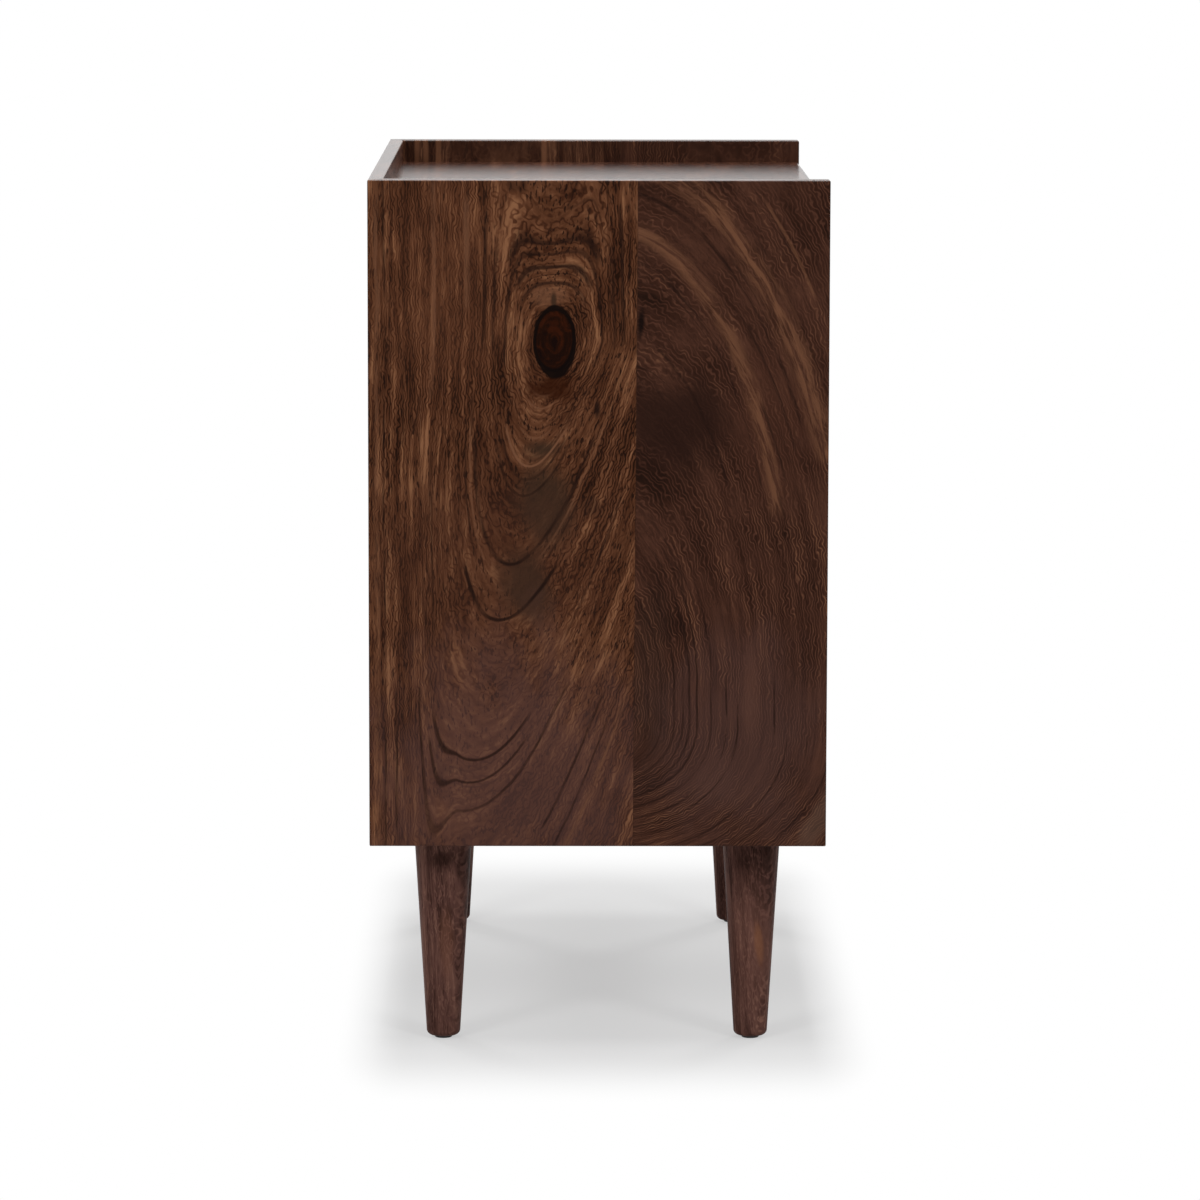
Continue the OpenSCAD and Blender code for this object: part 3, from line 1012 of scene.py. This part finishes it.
BIRCH = WoodFinish(
    tones((176, 140, 96), (194, 160, 116), (208, 178, 136), (218, 190, 150), (228, 204, 168)),
    tint(178, 138, 92),
    tint(170, 132, 90),
    lines=0.45,
    pores=0.25,
    fibre=0.6,
    blotch=0.25,
    veins=0.04,
    gloss=0.5,
    shine=0.3,
    relief=0.00003,
)
BEECH = WoodFinish(
    tones((150, 104, 68), (172, 124, 86), (190, 144, 104), (202, 158, 118), (212, 172, 132)),
    tint(150, 100, 64),
    tint(128, 84, 54),
    lines=0.4,
    pores=0.5,
    blotch=0.3,
    veins=0.05,
    gloss=0.6,
    shine=0.3,
)
PLYWOOD = PlyFinish(BIRCH)
RUNNER_STEEL = MetalFinish("runner_steel", tint(206, 208, 210), tint(158, 162, 166))
CAGE_STEEL = MetalFinish("cage_steel", tint(184, 186, 188), tint(128, 131, 134), gloss=0.36)
SCREW_STEEL = MetalFinish("screw_steel", tint(214, 208, 190), tint(150, 144, 128), gloss=0.3, cloud=0.6)
ZINC = MetalFinish("zinc_plate", tint(196, 199, 203), tint(140, 144, 149), gloss=0.34, drawn=Axis.Z)
NYLON = NylonFinish("glide_nylon")


def low_rings(
    rings: Sequence[float], reach: float, strength: float, high: float, grain: float
) -> tuple[Stripe, ...]:
    """Makes dark bands of late wood along several rings, from the foot of the board up.

    Args:
        rings: The rings, in millimetres.
        reach: Half the width of a band.
        strength: How much of the dark shows.
        high: The height up to which they show.
        grain: How much the fibres break them up.

    Returns:
        The bands.
    """
    return tuple(Stripe(ring, reach, LATE_WOOD, strength, high=high, grain=grain) for ring in rings)


def dress(node: str, material: bpy.types.Material) -> None:
    """Gives a CAD node its material.

    Args:
        node: The name of the node.
        material: The material.
    """
    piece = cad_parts[node]
    if not piece.material_slots:
        piece.data.materials.append(material)
    for held in piece.material_slots:
        held.material = material
    LOG.info("dressed %s in %s", node, material.name)


@dataclass
class Case:
    """The case: two glued-up sides, the back, the boards between them and their dowels.

    Attributes:
        left: The side that the photograph shows.
        right: The side whose rail shows behind the tray.
        boards: The back and the lying boards: node, material, where the pith passes, and seed.
    """

    left: GluedPanel = GluedPanel(
        back_board=OvalCut(
            (144.5, 564.0),
            Stretch(0.05, 50.0, 60.0),
            Stretch(0.22, 20.5),
            lean=0.19,
            straight=25.0,
            spread=48.0,
            wander=5.0,
            seed=1.3,
        ),
        front_board=OvalCut(
            (180.8, 300.0), Stretch(0.46, 12.0, 30.0), Stretch(1.42, -64.7, 25.0), wander=4.0, seed=4.6
        ),
        back_wood=WARM_WALNUT,
        front_wood=DUSKY_WALNUT,
        joint=(210.5, 207.7),
        knots=(Knot((145.5, 565.0), (15.6, 26.0)),),
        back_stripes=(
            # Pale bands are paler fibres with a painted sheen; dark bands are late wood.
            Stripe(138.0, 3.0, PALE_WOOD_AND_SHEEN, 0.5, 165.0, 690.0, grain=0.8),
            Stripe(132.0, 1.4, LATE_WOOD, 0.6, 165.0, 690.0, grain=0.7),
            Stripe(93.5, 3.0, PALE_WOOD_AND_SHEEN, 0.5, 520.0, 690.0, grain=0.6),
            Stripe(67.5, 3.2, PALE_WOOD_AND_SHEEN, 0.6, 590.0, 675.0, grain=0.5),
            Stripe(54.0, 2.2, LATE_WOOD, 0.65, 560.0, 668.0, grain=0.5),
            Stripe(47.0, 2.0, LATE_WOOD, 0.7, 560.0, 640.0, grain=0.4),
            Stripe(40.0, 2.6, LATE_WOOD, 0.8, 626.0, 668.0),
            Stripe(37.5, 1.5, LATE_WOOD, 0.8, 545.0, 640.0),
            Stripe(34.0, 2.2, LATE_WOOD, 0.8, 606.0, 640.0),
            Stripe(29.0, 1.8, LATE_WOOD, 0.7, 594.0, 622.0),
            Stripe(26.0, 1.2, PALE_WOOD_AND_SHEEN, 0.7, 515.0, 526.0),
            Stripe(29.4, 1.2, PALE_WOOD_AND_SHEEN, 0.6, 505.0, 519.0),
            Stripe(36.0, 1.2, PALE_WOOD_AND_SHEEN, 0.6, 482.0, 496.0),
            Stripe(41.5, 1.3, PALE_WOOD_AND_SHEEN, 0.9, 462.0, 497.0, grain=0.1),
            Stripe(44.0, 1.6, LATE_WOOD, 0.7, 454.0, 490.0),
            Stripe(47.0, 1.6, LATE_WOOD, 0.8, 440.0, 485.0),
            Stripe(59.0, 2.3, LATE_WOOD, 0.85, 380.0, 490.0, grain=0.45),
            Stripe(61.9, 1.2, PALE_WOOD_AND_SHEEN, 0.5, 395.0, 500.0),
            Stripe(64.3, 1.2, LATE_WOOD, 0.6, 395.0, 500.0),
            Stripe(69.0, 2.2, LATE_WOOD, 0.88, 335.0, 388.0, grain=0.4),
            Stripe(89.0, 1.6, LATE_WOOD, 0.7, 335.0, 445.0),
            Stripe(93.0, 1.8, LATE_WOOD, 0.8, 222.0, 270.0),
            Stripe(97.0, 1.5, LATE_WOOD, 0.7, 205.0, 250.0),
            Stripe(102.0, 1.8, LATE_WOOD, 0.85, 165.0, 292.0),
            Stripe(123.0, 1.7, LATE_WOOD, 0.7, 180.0, 285.0),
        ),
        front_stripes=(
            # Pale bands are paler fibres with a painted sheen; dark bands are late wood.
            Stripe(201.0, 14.0, PALE_WOOD_AND_SHEEN, 0.75, 470.0, 700.0, grain=0.85, core=0.0),
            Stripe(189.0, 2.2, LATE_WOOD, 0.75, 500.0, 700.0, grain=0.6),
            Stripe(157.0, 9.0, PALE_WOOD_AND_SHEEN, 0.7, 430.0, 660.0, 0.085, 0.85, 0.0),
            Stripe(150.0, 1.6, LATE_WOOD, 0.5, 450.0, 640.0, 0.085, 0.7),
            Stripe(224.0, 1.8, PALE_WOOD_AND_SHEEN, 0.6, 600.0, 672.0),
            Stripe(180.0, 1.6, LATE_WOOD, 0.7, 480.0, 580.0),
            Stripe(168.0, 1.6, LATE_WOOD, 0.7, 455.0, 515.0),
            Stripe(129.0, 1.6, LATE_WOOD, 0.6, 453.0, 560.0, 0.093),
            *low_rings((39.0, 49.0, 66.0, 88.0), 1.2, 0.55, 385.0, 0.7),
            *low_rings((59.0, 71.0, 77.0), 1.4, 0.7, 400.0, 0.4),
            *low_rings((100.0, 109.0, 138.0), 1.2, 0.7, 300.0, 0.9),
            *low_rings((149.0, 165.0, 184.0), 1.2, 0.6, 250.0, 0.8),
        ),
        back_patches=(
            Patch((136.0, 480.0), (17.0, 9.0), CHARCOAL, 0.85),
            Patch((138.0, 440.0), (24.0, 42.0), CHARCOAL, 0.85, 4.0),
            Patch((123.0, 372.0), (22.0, 34.0), CHARCOAL, 0.88, 14.0),
            Patch((174.0, 435.0), (8.0, 9.0), LATE_WOOD, 0.5),
            Patch((179.0, 512.0), (3.0, 9.0), LATE_WOOD, 0.9),
            Patch((142.0, 600.0), (16.0, 9.0), PALE_WOOD_AND_SHEEN, 0.5),
            Patch((145.0, 596.5), (2.4, 7.5), CHARCOAL, 0.85),
            Patch((60.0, 610.0), (60.0, 100.0), tint(98, 60, 41), 0.2),
            Patch((90.0, 385.0), (110.0, 90.0), tint(71, 42, 30), 0.3),
            Patch((110.0, 220.0), (130.0, 120.0), tint(81, 55, 50), 0.6),
        ),
        front_patches=(
            Patch((240.0, 499.0), (54.0, 42.0), tint(34, 17, 11), 0.8),
            Patch((222.0, 300.0), (20.0, 80.0), tint(50, 33, 25), 0.4),
            Patch((300.0, 285.0), (8.0, 36.0), tint(96, 62, 47), 0.5),
            Patch((275.0, 220.0), (18.0, 28.0), tint(86, 57, 47), 0.4),
            Patch((290.0, 250.0), (80.0, 90.0), tint(74, 51, 46), 0.5),
            Patch((320.0, 500.0), (40.0, 60.0), tint(74, 44, 32), 0.4),
            Patch((354.0, 186.0), (9.0, 30.0), tint(104, 80, 66), 0.3, -30.0),
            Patch((213.0, 578.0), (3.4, 15.0), tint(10, 3, 2), 0.9, -4.0),
        ),
    )
    right: GluedPanel = GluedPanel(
        back_board=OvalCut(
            (96.0, 240.0), Stretch(0.05, 30.0, 40.0), Stretch(0.12, 14.0), spread=60.0, wander=6.0, seed=7.9
        ),
        front_board=OvalCut(
            (300.0, 480.0),
            Stretch(0.05, 40.0),
            Stretch(0.16, 24.0, 30.0),
            lean=0.08,
            spread=50.0,
            wander=6.0,
            seed=11.2,
        ),
        back_wood=BROWN_WALNUT,
        front_wood=DUSKY_WALNUT,
        joint=(203.0, 205.0),
        back_patches=(
            Patch((24.0, 680.0), (2.5, 40.0), PALE_WOOD_AND_SHEEN, 0.6),
            Patch((32.0, 680.0), (2.5, 40.0), PALE_WOOD_AND_SHEEN, 0.6),
            Patch((43.0, 680.0), (2.5, 40.0), PALE_WOOD_AND_SHEEN, 0.6),
            Patch((136.0, 680.0), (3.0, 40.0), PALE_WOOD_AND_SHEEN, 0.7),
        ),
        front_patches=(Patch((260.0, 690.0), (140.0, 60.0), tint(40, 22, 15), 0.3),),
    )
    boards: tuple[tuple[str, str, Pair, float], ...] = (
        ("back_panel", "walnut_back", (110.0, 330.0), 2.1),
        ("top_board", "walnut_top", (40.0, 590.0), 3.4),
        ("bottom_board", "walnut_bottom", (-20.0, 90.0), 5.2),
        ("middle_rail", "walnut_rail", (-60.0, 360.0), 6.8),
    )

    def build(self) -> None:
        """Dresses the case."""
        dress("side_left", self.left.material("walnut_side_left"))
        dress("side_right", self.right.material("walnut_side_right"))
        for node, name, pith, seed in self.boards:
            dress(node, WALNUT.material(name, StraightCut(Axis.X, pith, 0.03, seed=seed)))
        dress("dowels", BEECH.material("beech_dowels", StraightCut(Axis.X, (30.0, 40.0), 0.02, seed=8.3)))


@dataclass
class Legs:
    """The four turned legs, their glides, and the inserts and bolts that hold them.

    Attributes:
        ends: The corners at which they stand.
        pith: How far the pith passes from the middle of the first leg along X and Y, in millimetres.
        shift: How much further it passes at each next leg.
        marks: The marks on the legs that the photograph shows; the dark ones at the tops are partly knots,
            partly painted shade.
    """

    ends: tuple[str, ...] = ("front_left", "front_right", "back_left", "back_right")
    pith: Pair = (46.0, 30.0)
    shift: Pair = (-9.0, 8.0)
    marks: dict[str, tuple[Patch, ...]] = field(
        default_factory=lambda: {
            "back_left": (
                # Dark mark near the top: partly a knot, partly painted shade under the case.
                Patch((56.0, 148.0), (11.0, 8.0), tint(40, 22, 17), 0.7, 25.0),
                Patch((60.0, 80.0), (6.0, 34.0), tint(112, 74, 58), 0.4),
            ),
            "front_left": (
                Patch((304.0, 80.0), (22.0, 60.0), tint(106, 72, 62), 0.35),
                Patch((309.0, 80.0), (3.6, 18.0), tint(124, 80, 54), 0.5, 6.0),
                # Dark mark near the top: partly a knot, partly painted shade under the case.
                Patch((296.0, 140.0), (7.0, 24.0), tint(46, 27, 21), 0.4),
            ),
        }
    )

    def build(self) -> None:
        """Dresses the legs, each cut at its own distance from the pith."""
        for count, end in enumerate(self.ends):
            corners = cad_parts[f"leg_{end}"].bound_box
            share = MM_PER_METRE / len(corners)
            middle = (sum(corner[i] for corner in corners) * share for i in range(2))
            pith = tuple(at + away + step * count for at, away, step in zip(middle, self.pith, self.shift))
            cut = StraightCut(Axis.Z, pith, lean=0.04, wander=10.0, seed=12.5 + 3.1 * count)
            dress(f"leg_{end}", LEG_WALNUT.material(f"walnut_leg_{end}", cut, self.marks.get(end, ())))
        nylon = NYLON.material()
        for end in self.ends:
            dress(f"glide_{end}", nylon)
        zinc = ZINC.material()
        dress("leg_inserts", zinc)
        dress("leg_bolts", zinc)


@dataclass
class Drawer:
    """One drawer: its face, its dovetailed box and its floor.

    Attributes:
        level: Which of the two drawers it is, in the names of its nodes.
        floor_z: The height of the lower side of its floor, in millimetres.
        seed: Sets its boards apart from the other drawer's.
    """

    level: str
    floor_z: float
    seed: float

    def build(self) -> None:
        """Dresses the drawer."""
        face = StraightCut(Axis.X, (-95.0, self.floor_z + 110.0), 0.035, seed=self.seed)
        dress(f"{self.level}_face", WALNUT.material(f"walnut_{self.level}_face", face))
        for part, fibres, pith, apart in (
            ("box_front", Axis.X, (-60.0, self.floor_z + 60.0), 7.7),
            ("box_back", Axis.X, (60.0, self.floor_z + 120.0), 8.2),
            ("box_left", Axis.Y, (-180.0, self.floor_z + 30.0), 5.8),
            ("box_right", Axis.Y, (190.0, self.floor_z + 90.0), 10.2),
        ):
            cut = StraightCut(fibres, pith, 0.03, seed=self.seed + apart)
            dress(f"{self.level}_{part}", BIRCH.material(f"birch_{self.level}_{part}", cut))
        floor = StraightCut(Axis.X, (30.0, self.floor_z - 140.0), 0.02, seed=self.seed + 9.0)
        dress(f"{self.level}_box_floor", PLYWOOD.material(f"ply_{self.level}", floor, self.floor_z))


@dataclass
class Runners:
    """The four ball-bearing runners.

    Attributes:
        levels: The drawers that they carry.
        sides: The sides of a drawer on which they sit.
        members: The rolled members of a runner.
        cages: Its ball cages.
    """

    levels: tuple[str, ...] = ("upper", "lower")
    sides: tuple[str, ...] = ("left", "right")
    members: tuple[str, ...] = ("case_member", "middle_member", "drawer_member")
    cages: tuple[str, ...] = ("case_cage", "drawer_cage")

    def build(self) -> None:
        """Dresses the runners."""
        steel = RUNNER_STEEL.material()
        cage = CAGE_STEEL.material()
        for level in self.levels:
            for side in self.sides:
                for member in self.members:
                    dress(f"{level}_{side}_{member}", steel)
                for ball_cage in self.cages:
                    dress(f"{level}_{side}_{ball_cage}", cage)


@dataclass(frozen=True)
class ScrewPlace:
    """Where a screw sits: the middle of its head's face in millimetres, and the way its point goes."""

    head: Point
    way: Point


@dataclass(frozen=True)
class Screw:
    """A countersunk chipboard screw with a cross recess and a rolled thread, all in millimetres.

    Attributes:
        length: Its length with the head.
        shank: The diameter over the thread.
        core: The diameter of the core.
        head: The diameter of the head.
        rim: The thickness of the head's rim.
        cone: How deep the head reaches with its cone.
        pitch: The pitch of the thread.
        smooth: The length below the head that has no thread.
        point: The length of the point.
        cross: Half the width of the recess.
        wing: Half the thickness of a wing of the recess.
        recess: The depth of the recess.
    """

    length: float
    shank: float = 3.5
    core: float = 2.3
    head: float = 7.0
    rim: float = 0.25
    cone: float = 1.75
    pitch: float = 1.6
    smooth: float = 2.4
    point: float = 3.2
    cross: float = 1.9
    wing: float = 0.5
    recess: float = 1.6

    def add(self, shape: bmesh.types.BMesh, place: ScrewPlace) -> None:
        """Adds the screw to a mesh.

        Args:
            shape: The mesh that it is added to, in metres.
            place: Where it sits.
        """
        single = bmesh.new()
        self._turn_body(single)
        self._press_recess(single)
        bmesh.ops.remove_doubles(single, verts=single.verts[:], dist=0.0005)
        bmesh.ops.recalc_face_normals(single, faces=single.faces[:])
        self._roll_thread(single)
        turn = Vector((1.0, 0.0, 0.0)).rotation_difference(Vector(place.way)).to_matrix().to_4x4()
        move = Matrix.Scale(1.0 / MM_PER_METRE, 4) @ Matrix.Translation(place.head) @ turn
        bmesh.ops.transform(single, matrix=move, verts=single.verts[:])
        held = bpy.data.meshes.new("screw")
        single.to_mesh(held)
        single.free()
        shape.from_mesh(held)
        bpy.data.meshes.remove(held)

    def _turn_body(self, shape: bmesh.types.BMesh) -> None:
        """Spins the head, the shank and the point round the X axis.

        Args:
            shape: The mesh of the screw, in millimetres.
        """
        tip = self.length - self.point
        outline = (
            (0.0, self.head / 2),
            (self.rim, self.head / 2),
            (self.cone, self.shank / 2 - 0.05),
            (self.smooth, self.shank / 2 - 0.25),
            (self.smooth + 0.5, self.core / 2),
            (tip, self.core / 2),
            (self.length - 0.8, self.core / 4),
            (self.length, 0.0),
        )
        points = [shape.verts.new((x, 0.0, radius)) for x, radius in outline]
        edges = [shape.edges.new(pair) for pair in zip(points, points[1:])]
        bmesh.ops.spin(
            shape,
            geom=points + edges,
            cent=(0.0, 0.0, 0.0),
            axis=(1.0, 0.0, 0.0),
            angle=math.tau,
            steps=24,
            use_merge=True,
        )

    def _press_recess(self, shape: bmesh.types.BMesh) -> None:
        """Fills the head's face round a cross and sinks the cross into it.

        Args:
            shape: The mesh of the screw, in millimetres.
        """
        rim = [edge for edge in shape.edges if len(edge.link_faces) == 1]
        fillet = self.wing + 0.25
        quarter = ((self.cross, -self.wing), (self.cross, self.wing), (fillet, fillet))
        corners = []
        for cosine, sine in ((1, 0), (0, 1), (-1, 0), (0, -1)):
            for y, z in quarter:
                corners.append(shape.verts.new((0.0, y * cosine - z * sine, y * sine + z * cosine)))
        cross = [shape.edges.new(pair) for pair in zip(corners, corners[1:] + corners[:1])]
        bmesh.ops.triangle_fill(shape, edges=rim + cross, use_beauty=True, normal=(-1.0, 0.0, 0.0))
        for depth, spread in ((self.recess * 0.8, 0.62), (self.recess * 0.2, 0.0)):
            sunk = bmesh.ops.extrude_edge_only(shape, edges=cross)["geom"]
            lower = [part for part in sunk if isinstance(part, bmesh.types.BMVert)]
            bmesh.ops.scale(shape, vec=(1.0, spread, spread), verts=lower)
            bmesh.ops.translate(shape, vec=(depth, 0.0, 0.0), verts=lower)
            cross = [
                part
                for part in sunk
                if isinstance(part, bmesh.types.BMEdge) and all(vert in lower for vert in part.verts)
            ]

    def _roll_thread(self, shape: bmesh.types.BMesh) -> None:
        """Winds the ridge of the thread round the core.

        Args:
            shape: The mesh of the screw, in millimetres.
        """
        start, end = self.smooth + 0.6, self.length - self.point * 0.55
        turns = (end - start) / self.pitch
        steps = round(turns * 14)
        low = self.core / 2 - 0.08
        ridge = [
            shape.verts.new(at)
            for at in ((start - 0.28, 0.0, low), (start, 0.0, self.shank / 2), (start + 0.28, 0.0, low))
        ]
        edges = [shape.edges.new(pair) for pair in zip(ridge, ridge[1:] + ridge[:1])]
        wound = bmesh.ops.spin(
            shape,
            geom=ridge + edges,
            cent=(0.0, 0.0, 0.0),
            axis=(1.0, 0.0, 0.0),
            dvec=((end - start) / steps, 0.0, 0.0),
            angle=math.tau * turns,
            steps=steps,
        )
        last = [part for part in wound["geom_last"] if isinstance(part, bmesh.types.BMVert)]
        for ring in (ridge, last):
            foot = min(ring, key=lambda vert: vert.co.yz.length)
            bmesh.ops.pointmerge(shape, verts=ring, merge_co=foot.co.copy())
        ridge_faces = [face for face in shape.faces if face.calc_center_median().yz.length > low]
        bmesh.ops.recalc_face_normals(shape, faces=ridge_faces)


@dataclass
class Screws:
    """The countersunk screws of the runners and the drawer faces, in millimetres.

    Attributes:
        runner_ys: How far back the screws of a runner sit.
        runner_zs: The heights of the runners' middles, by level.
        case_x: How far from the middle the heads in the case members sit.
        drawer_x: How far from the middle the heads in the drawer members sit.
        face_x: How far from the middle the screws of a face sit.
        face_y: Where the heads of those screws sit.
        face_zs: The heights of those screws, by level.
    """

    runner_ys: tuple[float, ...] = (-124.0, -9.0, 106.0)
    runner_zs: dict[str, float] = field(default_factory=lambda: {"lower": 259.0, "upper": 503.0})
    case_x: float = 280.8
    drawer_x: float = 270.5
    face_x: float = 190.0
    face_y: float = -149.0
    face_zs: dict[str, Pair] = field(
        default_factory=lambda: {"lower": (234.0, 342.0), "upper": (478.0, 586.0)}
    )

    def build(self) -> None:
        """Makes all the screws."""
        steel = SCREW_STEEL.material()
        case = []
        for level, z in self.runner_zs.items():
            rows = [(side.value, y) for side in Side for y in self.runner_ys]
            case += [ScrewPlace((side * self.case_x, y, z), (side, 0.0, 0.0)) for side, y in rows]
            drawer = [ScrewPlace((side * self.drawer_x, y, z), (-side, 0.0, 0.0)) for side, y in rows]
            face = [
                ScrewPlace((side.value * self.face_x, self.face_y, height), (0.0, -1.0, 0.0))
                for side in Side
                for height in self.face_zs[level]
            ]
            self._set(f"{level}_member_screws", Screw(11.0), drawer, f"{level}_drawer", steel)
            self._set(f"{level}_face_screws", Screw(25.0, smooth=8.0), face, f"{level}_drawer", steel)
        self._set("case_member_screws", Screw(14.0), case, "case", steel)

    @staticmethod
    def _set(
        node: str, screw: Screw, places: list[ScrewPlace], body: str, steel: bpy.types.Material
    ) -> None:
        """Makes one set of screws, which takes the place of a CAD node.

        Args:
            node: The CAD node.
            screw: The screw.
            places: Where the screws sit.
            body: The body that they ride on.
            steel: Their material.
        """
        shape = bmesh.new()
        for place in places:
            screw.add(shape, place)
        mesh = bpy.data.meshes.new(f"{node}_cut")
        shape.to_mesh(mesh)
        shape.free()
        mesh.materials.append(steel)
        piece = bpy.data.objects.new(f"{node}_cut", mesh)
        bpy.context.scene.collection.objects.link(piece)
        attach(piece, body)
        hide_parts(node)
        LOG.info("cut %s: %d screws, %d faces", piece.name, len(places), len(mesh.polygons))


@dataclass(frozen=True)
class Lamp:
    """A soft lamp that faces the middle of the piece.

    Attributes:
        at: Where it hangs, in metres.
        size: Its sides, in metres.
        power: Its power, in watts.
    """

    at: Point
    size: Pair
    power: float


@dataclass
class Studio:
    """The pale floor, the soft lights and the camera.

    Attributes:
        eye: Where the camera stands, in metres.
        yaw: How far it turns from +X towards +Y, in radians.
        pitch: How far it looks down, in radians.
        roll: How far it leans, in radians.
        lens: The focal length, in millimetres.
        sensor: The width of the sensor, in millimetres.
        shadow_middle: The middle of the painted shadow, a soft grey patch of floor round the piece, in
            millimetres.
        shadow_half: How far it reaches along X and Y before it begins to fade.
        shadow_fade: Over which length it then fades.
        paper: How much light the floor gives back to the piece.
        shade: How much light it gives back inside the painted shadow, where the lamps' real shadows also
            show.
        glow: How much light it adds there of its own, so that its open parts come out white.
        ambient: How bright the surroundings are as a light, where 1 is white.
        top: The lamp above the piece.
        corner: The lamp that hangs at each corner.
        aim: Where the lamps look, in metres.
        reach: Half the width of the floor, in metres.
    """

    eye: Point = (-4.66206, 0.031278, 0.951314)
    yaw: float = -0.00749449
    pitch: float = 0.1344789
    roll: float = 0.0020
    lens: float = 168.4326
    sensor: float = 36.0
    shadow_middle: Pair = (50.0, -7.5)
    shadow_half: Pair = (350.0, 156.0)
    shadow_fade: Pair = (190.0, 62.0)
    paper: float = 0.8
    shade: float = 0.34
    glow: float = 0.49
    ambient: float = 0.45
    top: Lamp = Lamp((0.0, 0.0, 2.6), (2.2, 0.6), 40.0)
    corner: Lamp = Lamp((2.5, 1.6, 1.8), (0.7, 0.7), 22.0)
    aim: Point = (0.0, 0.0, 0.4)
    reach: float = 80.0

    def build(self) -> None:
        """Sets up the studio."""
        scene = bpy.context.scene
        scene.view_settings.view_transform = "Standard"
        self._camera(scene)
        self._world(scene)
        self._floor()
        self._hang("top", self.top)
        x, y, z = self.corner.at
        for name, ahead, aside in (("a", -x, -y), ("b", -x, y), ("c", x, -y), ("d", x, y)):
            self._hang(f"corner_{name}", replace(self.corner, at=(ahead, aside, z)))

    def _camera(self, scene: bpy.types.Scene) -> None:
        """Makes the camera that sees what the photograph's saw.

        Args:
            scene: The scene.
        """
        ahead = Vector(
            (
                math.cos(self.yaw) * math.cos(self.pitch),
                math.sin(self.yaw) * math.cos(self.pitch),
                -math.sin(self.pitch),
            )
        )
        level = Vector((math.sin(self.yaw), -math.cos(self.yaw), 0.0))
        upright = level.cross(ahead)
        right = level * math.cos(self.roll) + upright * math.sin(self.roll)
        up = upright * math.cos(self.roll) - level * math.sin(self.roll)
        data = bpy.data.cameras.new("camera")
        data.sensor_width = self.sensor
        data.lens = self.lens
        data.clip_start, data.clip_end = 0.05, 200.0
        camera = bpy.data.objects.new("camera", data)
        turn = Matrix((right, up, -ahead)).transposed().to_4x4()
        camera.matrix_world = Matrix.Translation(self.eye) @ turn
        scene.collection.objects.link(camera)
        scene.camera = camera

    def _world(self, scene: bpy.types.Scene) -> None:
        """Makes the even light around the piece, white where the camera or a gloss looks at it.

        Args:
            scene: The scene.
        """
        world = bpy.data.worlds.new("studio")
        graph = Graph(world)
        strength = self.ambient + graph.seen() * (1.0 - self.ambient)
        glow = graph.node("ShaderNodeBackground", {}, {"Strength": strength})
        graph.node("ShaderNodeOutputWorld", {}, {0: glow.outputs[0]})
        scene.world = world

    def _floor(self) -> None:
        """Makes the floor: a painted shadow, grey round the piece, that keeps the lamps' shadows, and white
        beyond it.
        """
        paper, graph = Graph.of_material("floor_paper")
        seen = graph.seen()
        # Painted shadow: a soft mask round the piece greys the floor, on top of the lamps' real shadows.
        ahead, aside = (
            (abs(part - middle) - half).at_least(0.0) / fade
            for part, middle, half, fade in zip(
                graph.place(), self.shadow_middle, self.shadow_half, self.shadow_fade
            )
        )
        near = (aside * aside + ahead * ahead).root().rise(1.0, 0.0)
        plain, shaded = (
            graph.node("ShaderNodeBsdfDiffuse", {}, {"Color": (share, share, share, 1.0)})
            for share in (self.paper, self.shade)
        )
        glow, white = (
            graph.node("ShaderNodeEmission", {}, {"Color": (1.0, 1.0, 1.0, 1.0), "Strength": strength})
            for strength in (self.glow, 1.0)
        )
        both = graph.node("ShaderNodeAddShader", {}, {0: shaded.outputs[0], 1: glow.outputs[0]})
        # Inside the painted shadow the floor is shaded and glows; outside it, plain white.
        painted_shadow_floor = graph.node("ShaderNodeMixShader", {}, {0: near, 1: white.outputs[0], 2: both.outputs[0]})
        picked = graph.node("ShaderNodeMixShader", {}, {0: seen, 1: plain.outputs[0], 2: painted_shadow_floor.outputs[0]})
        graph.node("ShaderNodeOutputMaterial", {}, {0: picked.outputs[0]})
        mesh = bpy.data.meshes.new("floor")
        shape = bmesh.new()
        bmesh.ops.create_grid(shape, x_segments=1, y_segments=1, size=self.reach)
        shape.to_mesh(mesh)
        shape.free()
        floor = bpy.data.objects.new("floor", mesh)
        mesh.materials.append(paper)
        bpy.context.scene.collection.objects.link(floor)

    def _hang(self, name: str, lamp: Lamp) -> None:
        """Hangs a lamp.

        Args:
            name: The name of the lamp.
            lamp: The lamp.
        """
        data = bpy.data.lights.new(name, "AREA")
        data.shape = "RECTANGLE"
        data.size, data.size_y = lamp.size
        data.energy = lamp.power
        hung = bpy.data.objects.new(name, data)
        hung.location = lamp.at
        way = Vector(self.aim) - Vector(lamp.at)
        hung.rotation_euler = way.to_track_quat("-Z", "Y").to_euler()
        bpy.context.scene.collection.objects.link(hung)


def main() -> None:
    """Dresses the nightstand and sets up the studio."""
    logging.basicConfig(level=logging.INFO, format="%(message)s")
    Studio().build()
    Case().build()
    Legs().build()
    Drawer("upper", 453.0, 21.0).build()
    Drawer("lower", 209.0, 24.5).build()
    Runners().build()
    Screws().build()


if __name__ == "__main__":
    main()
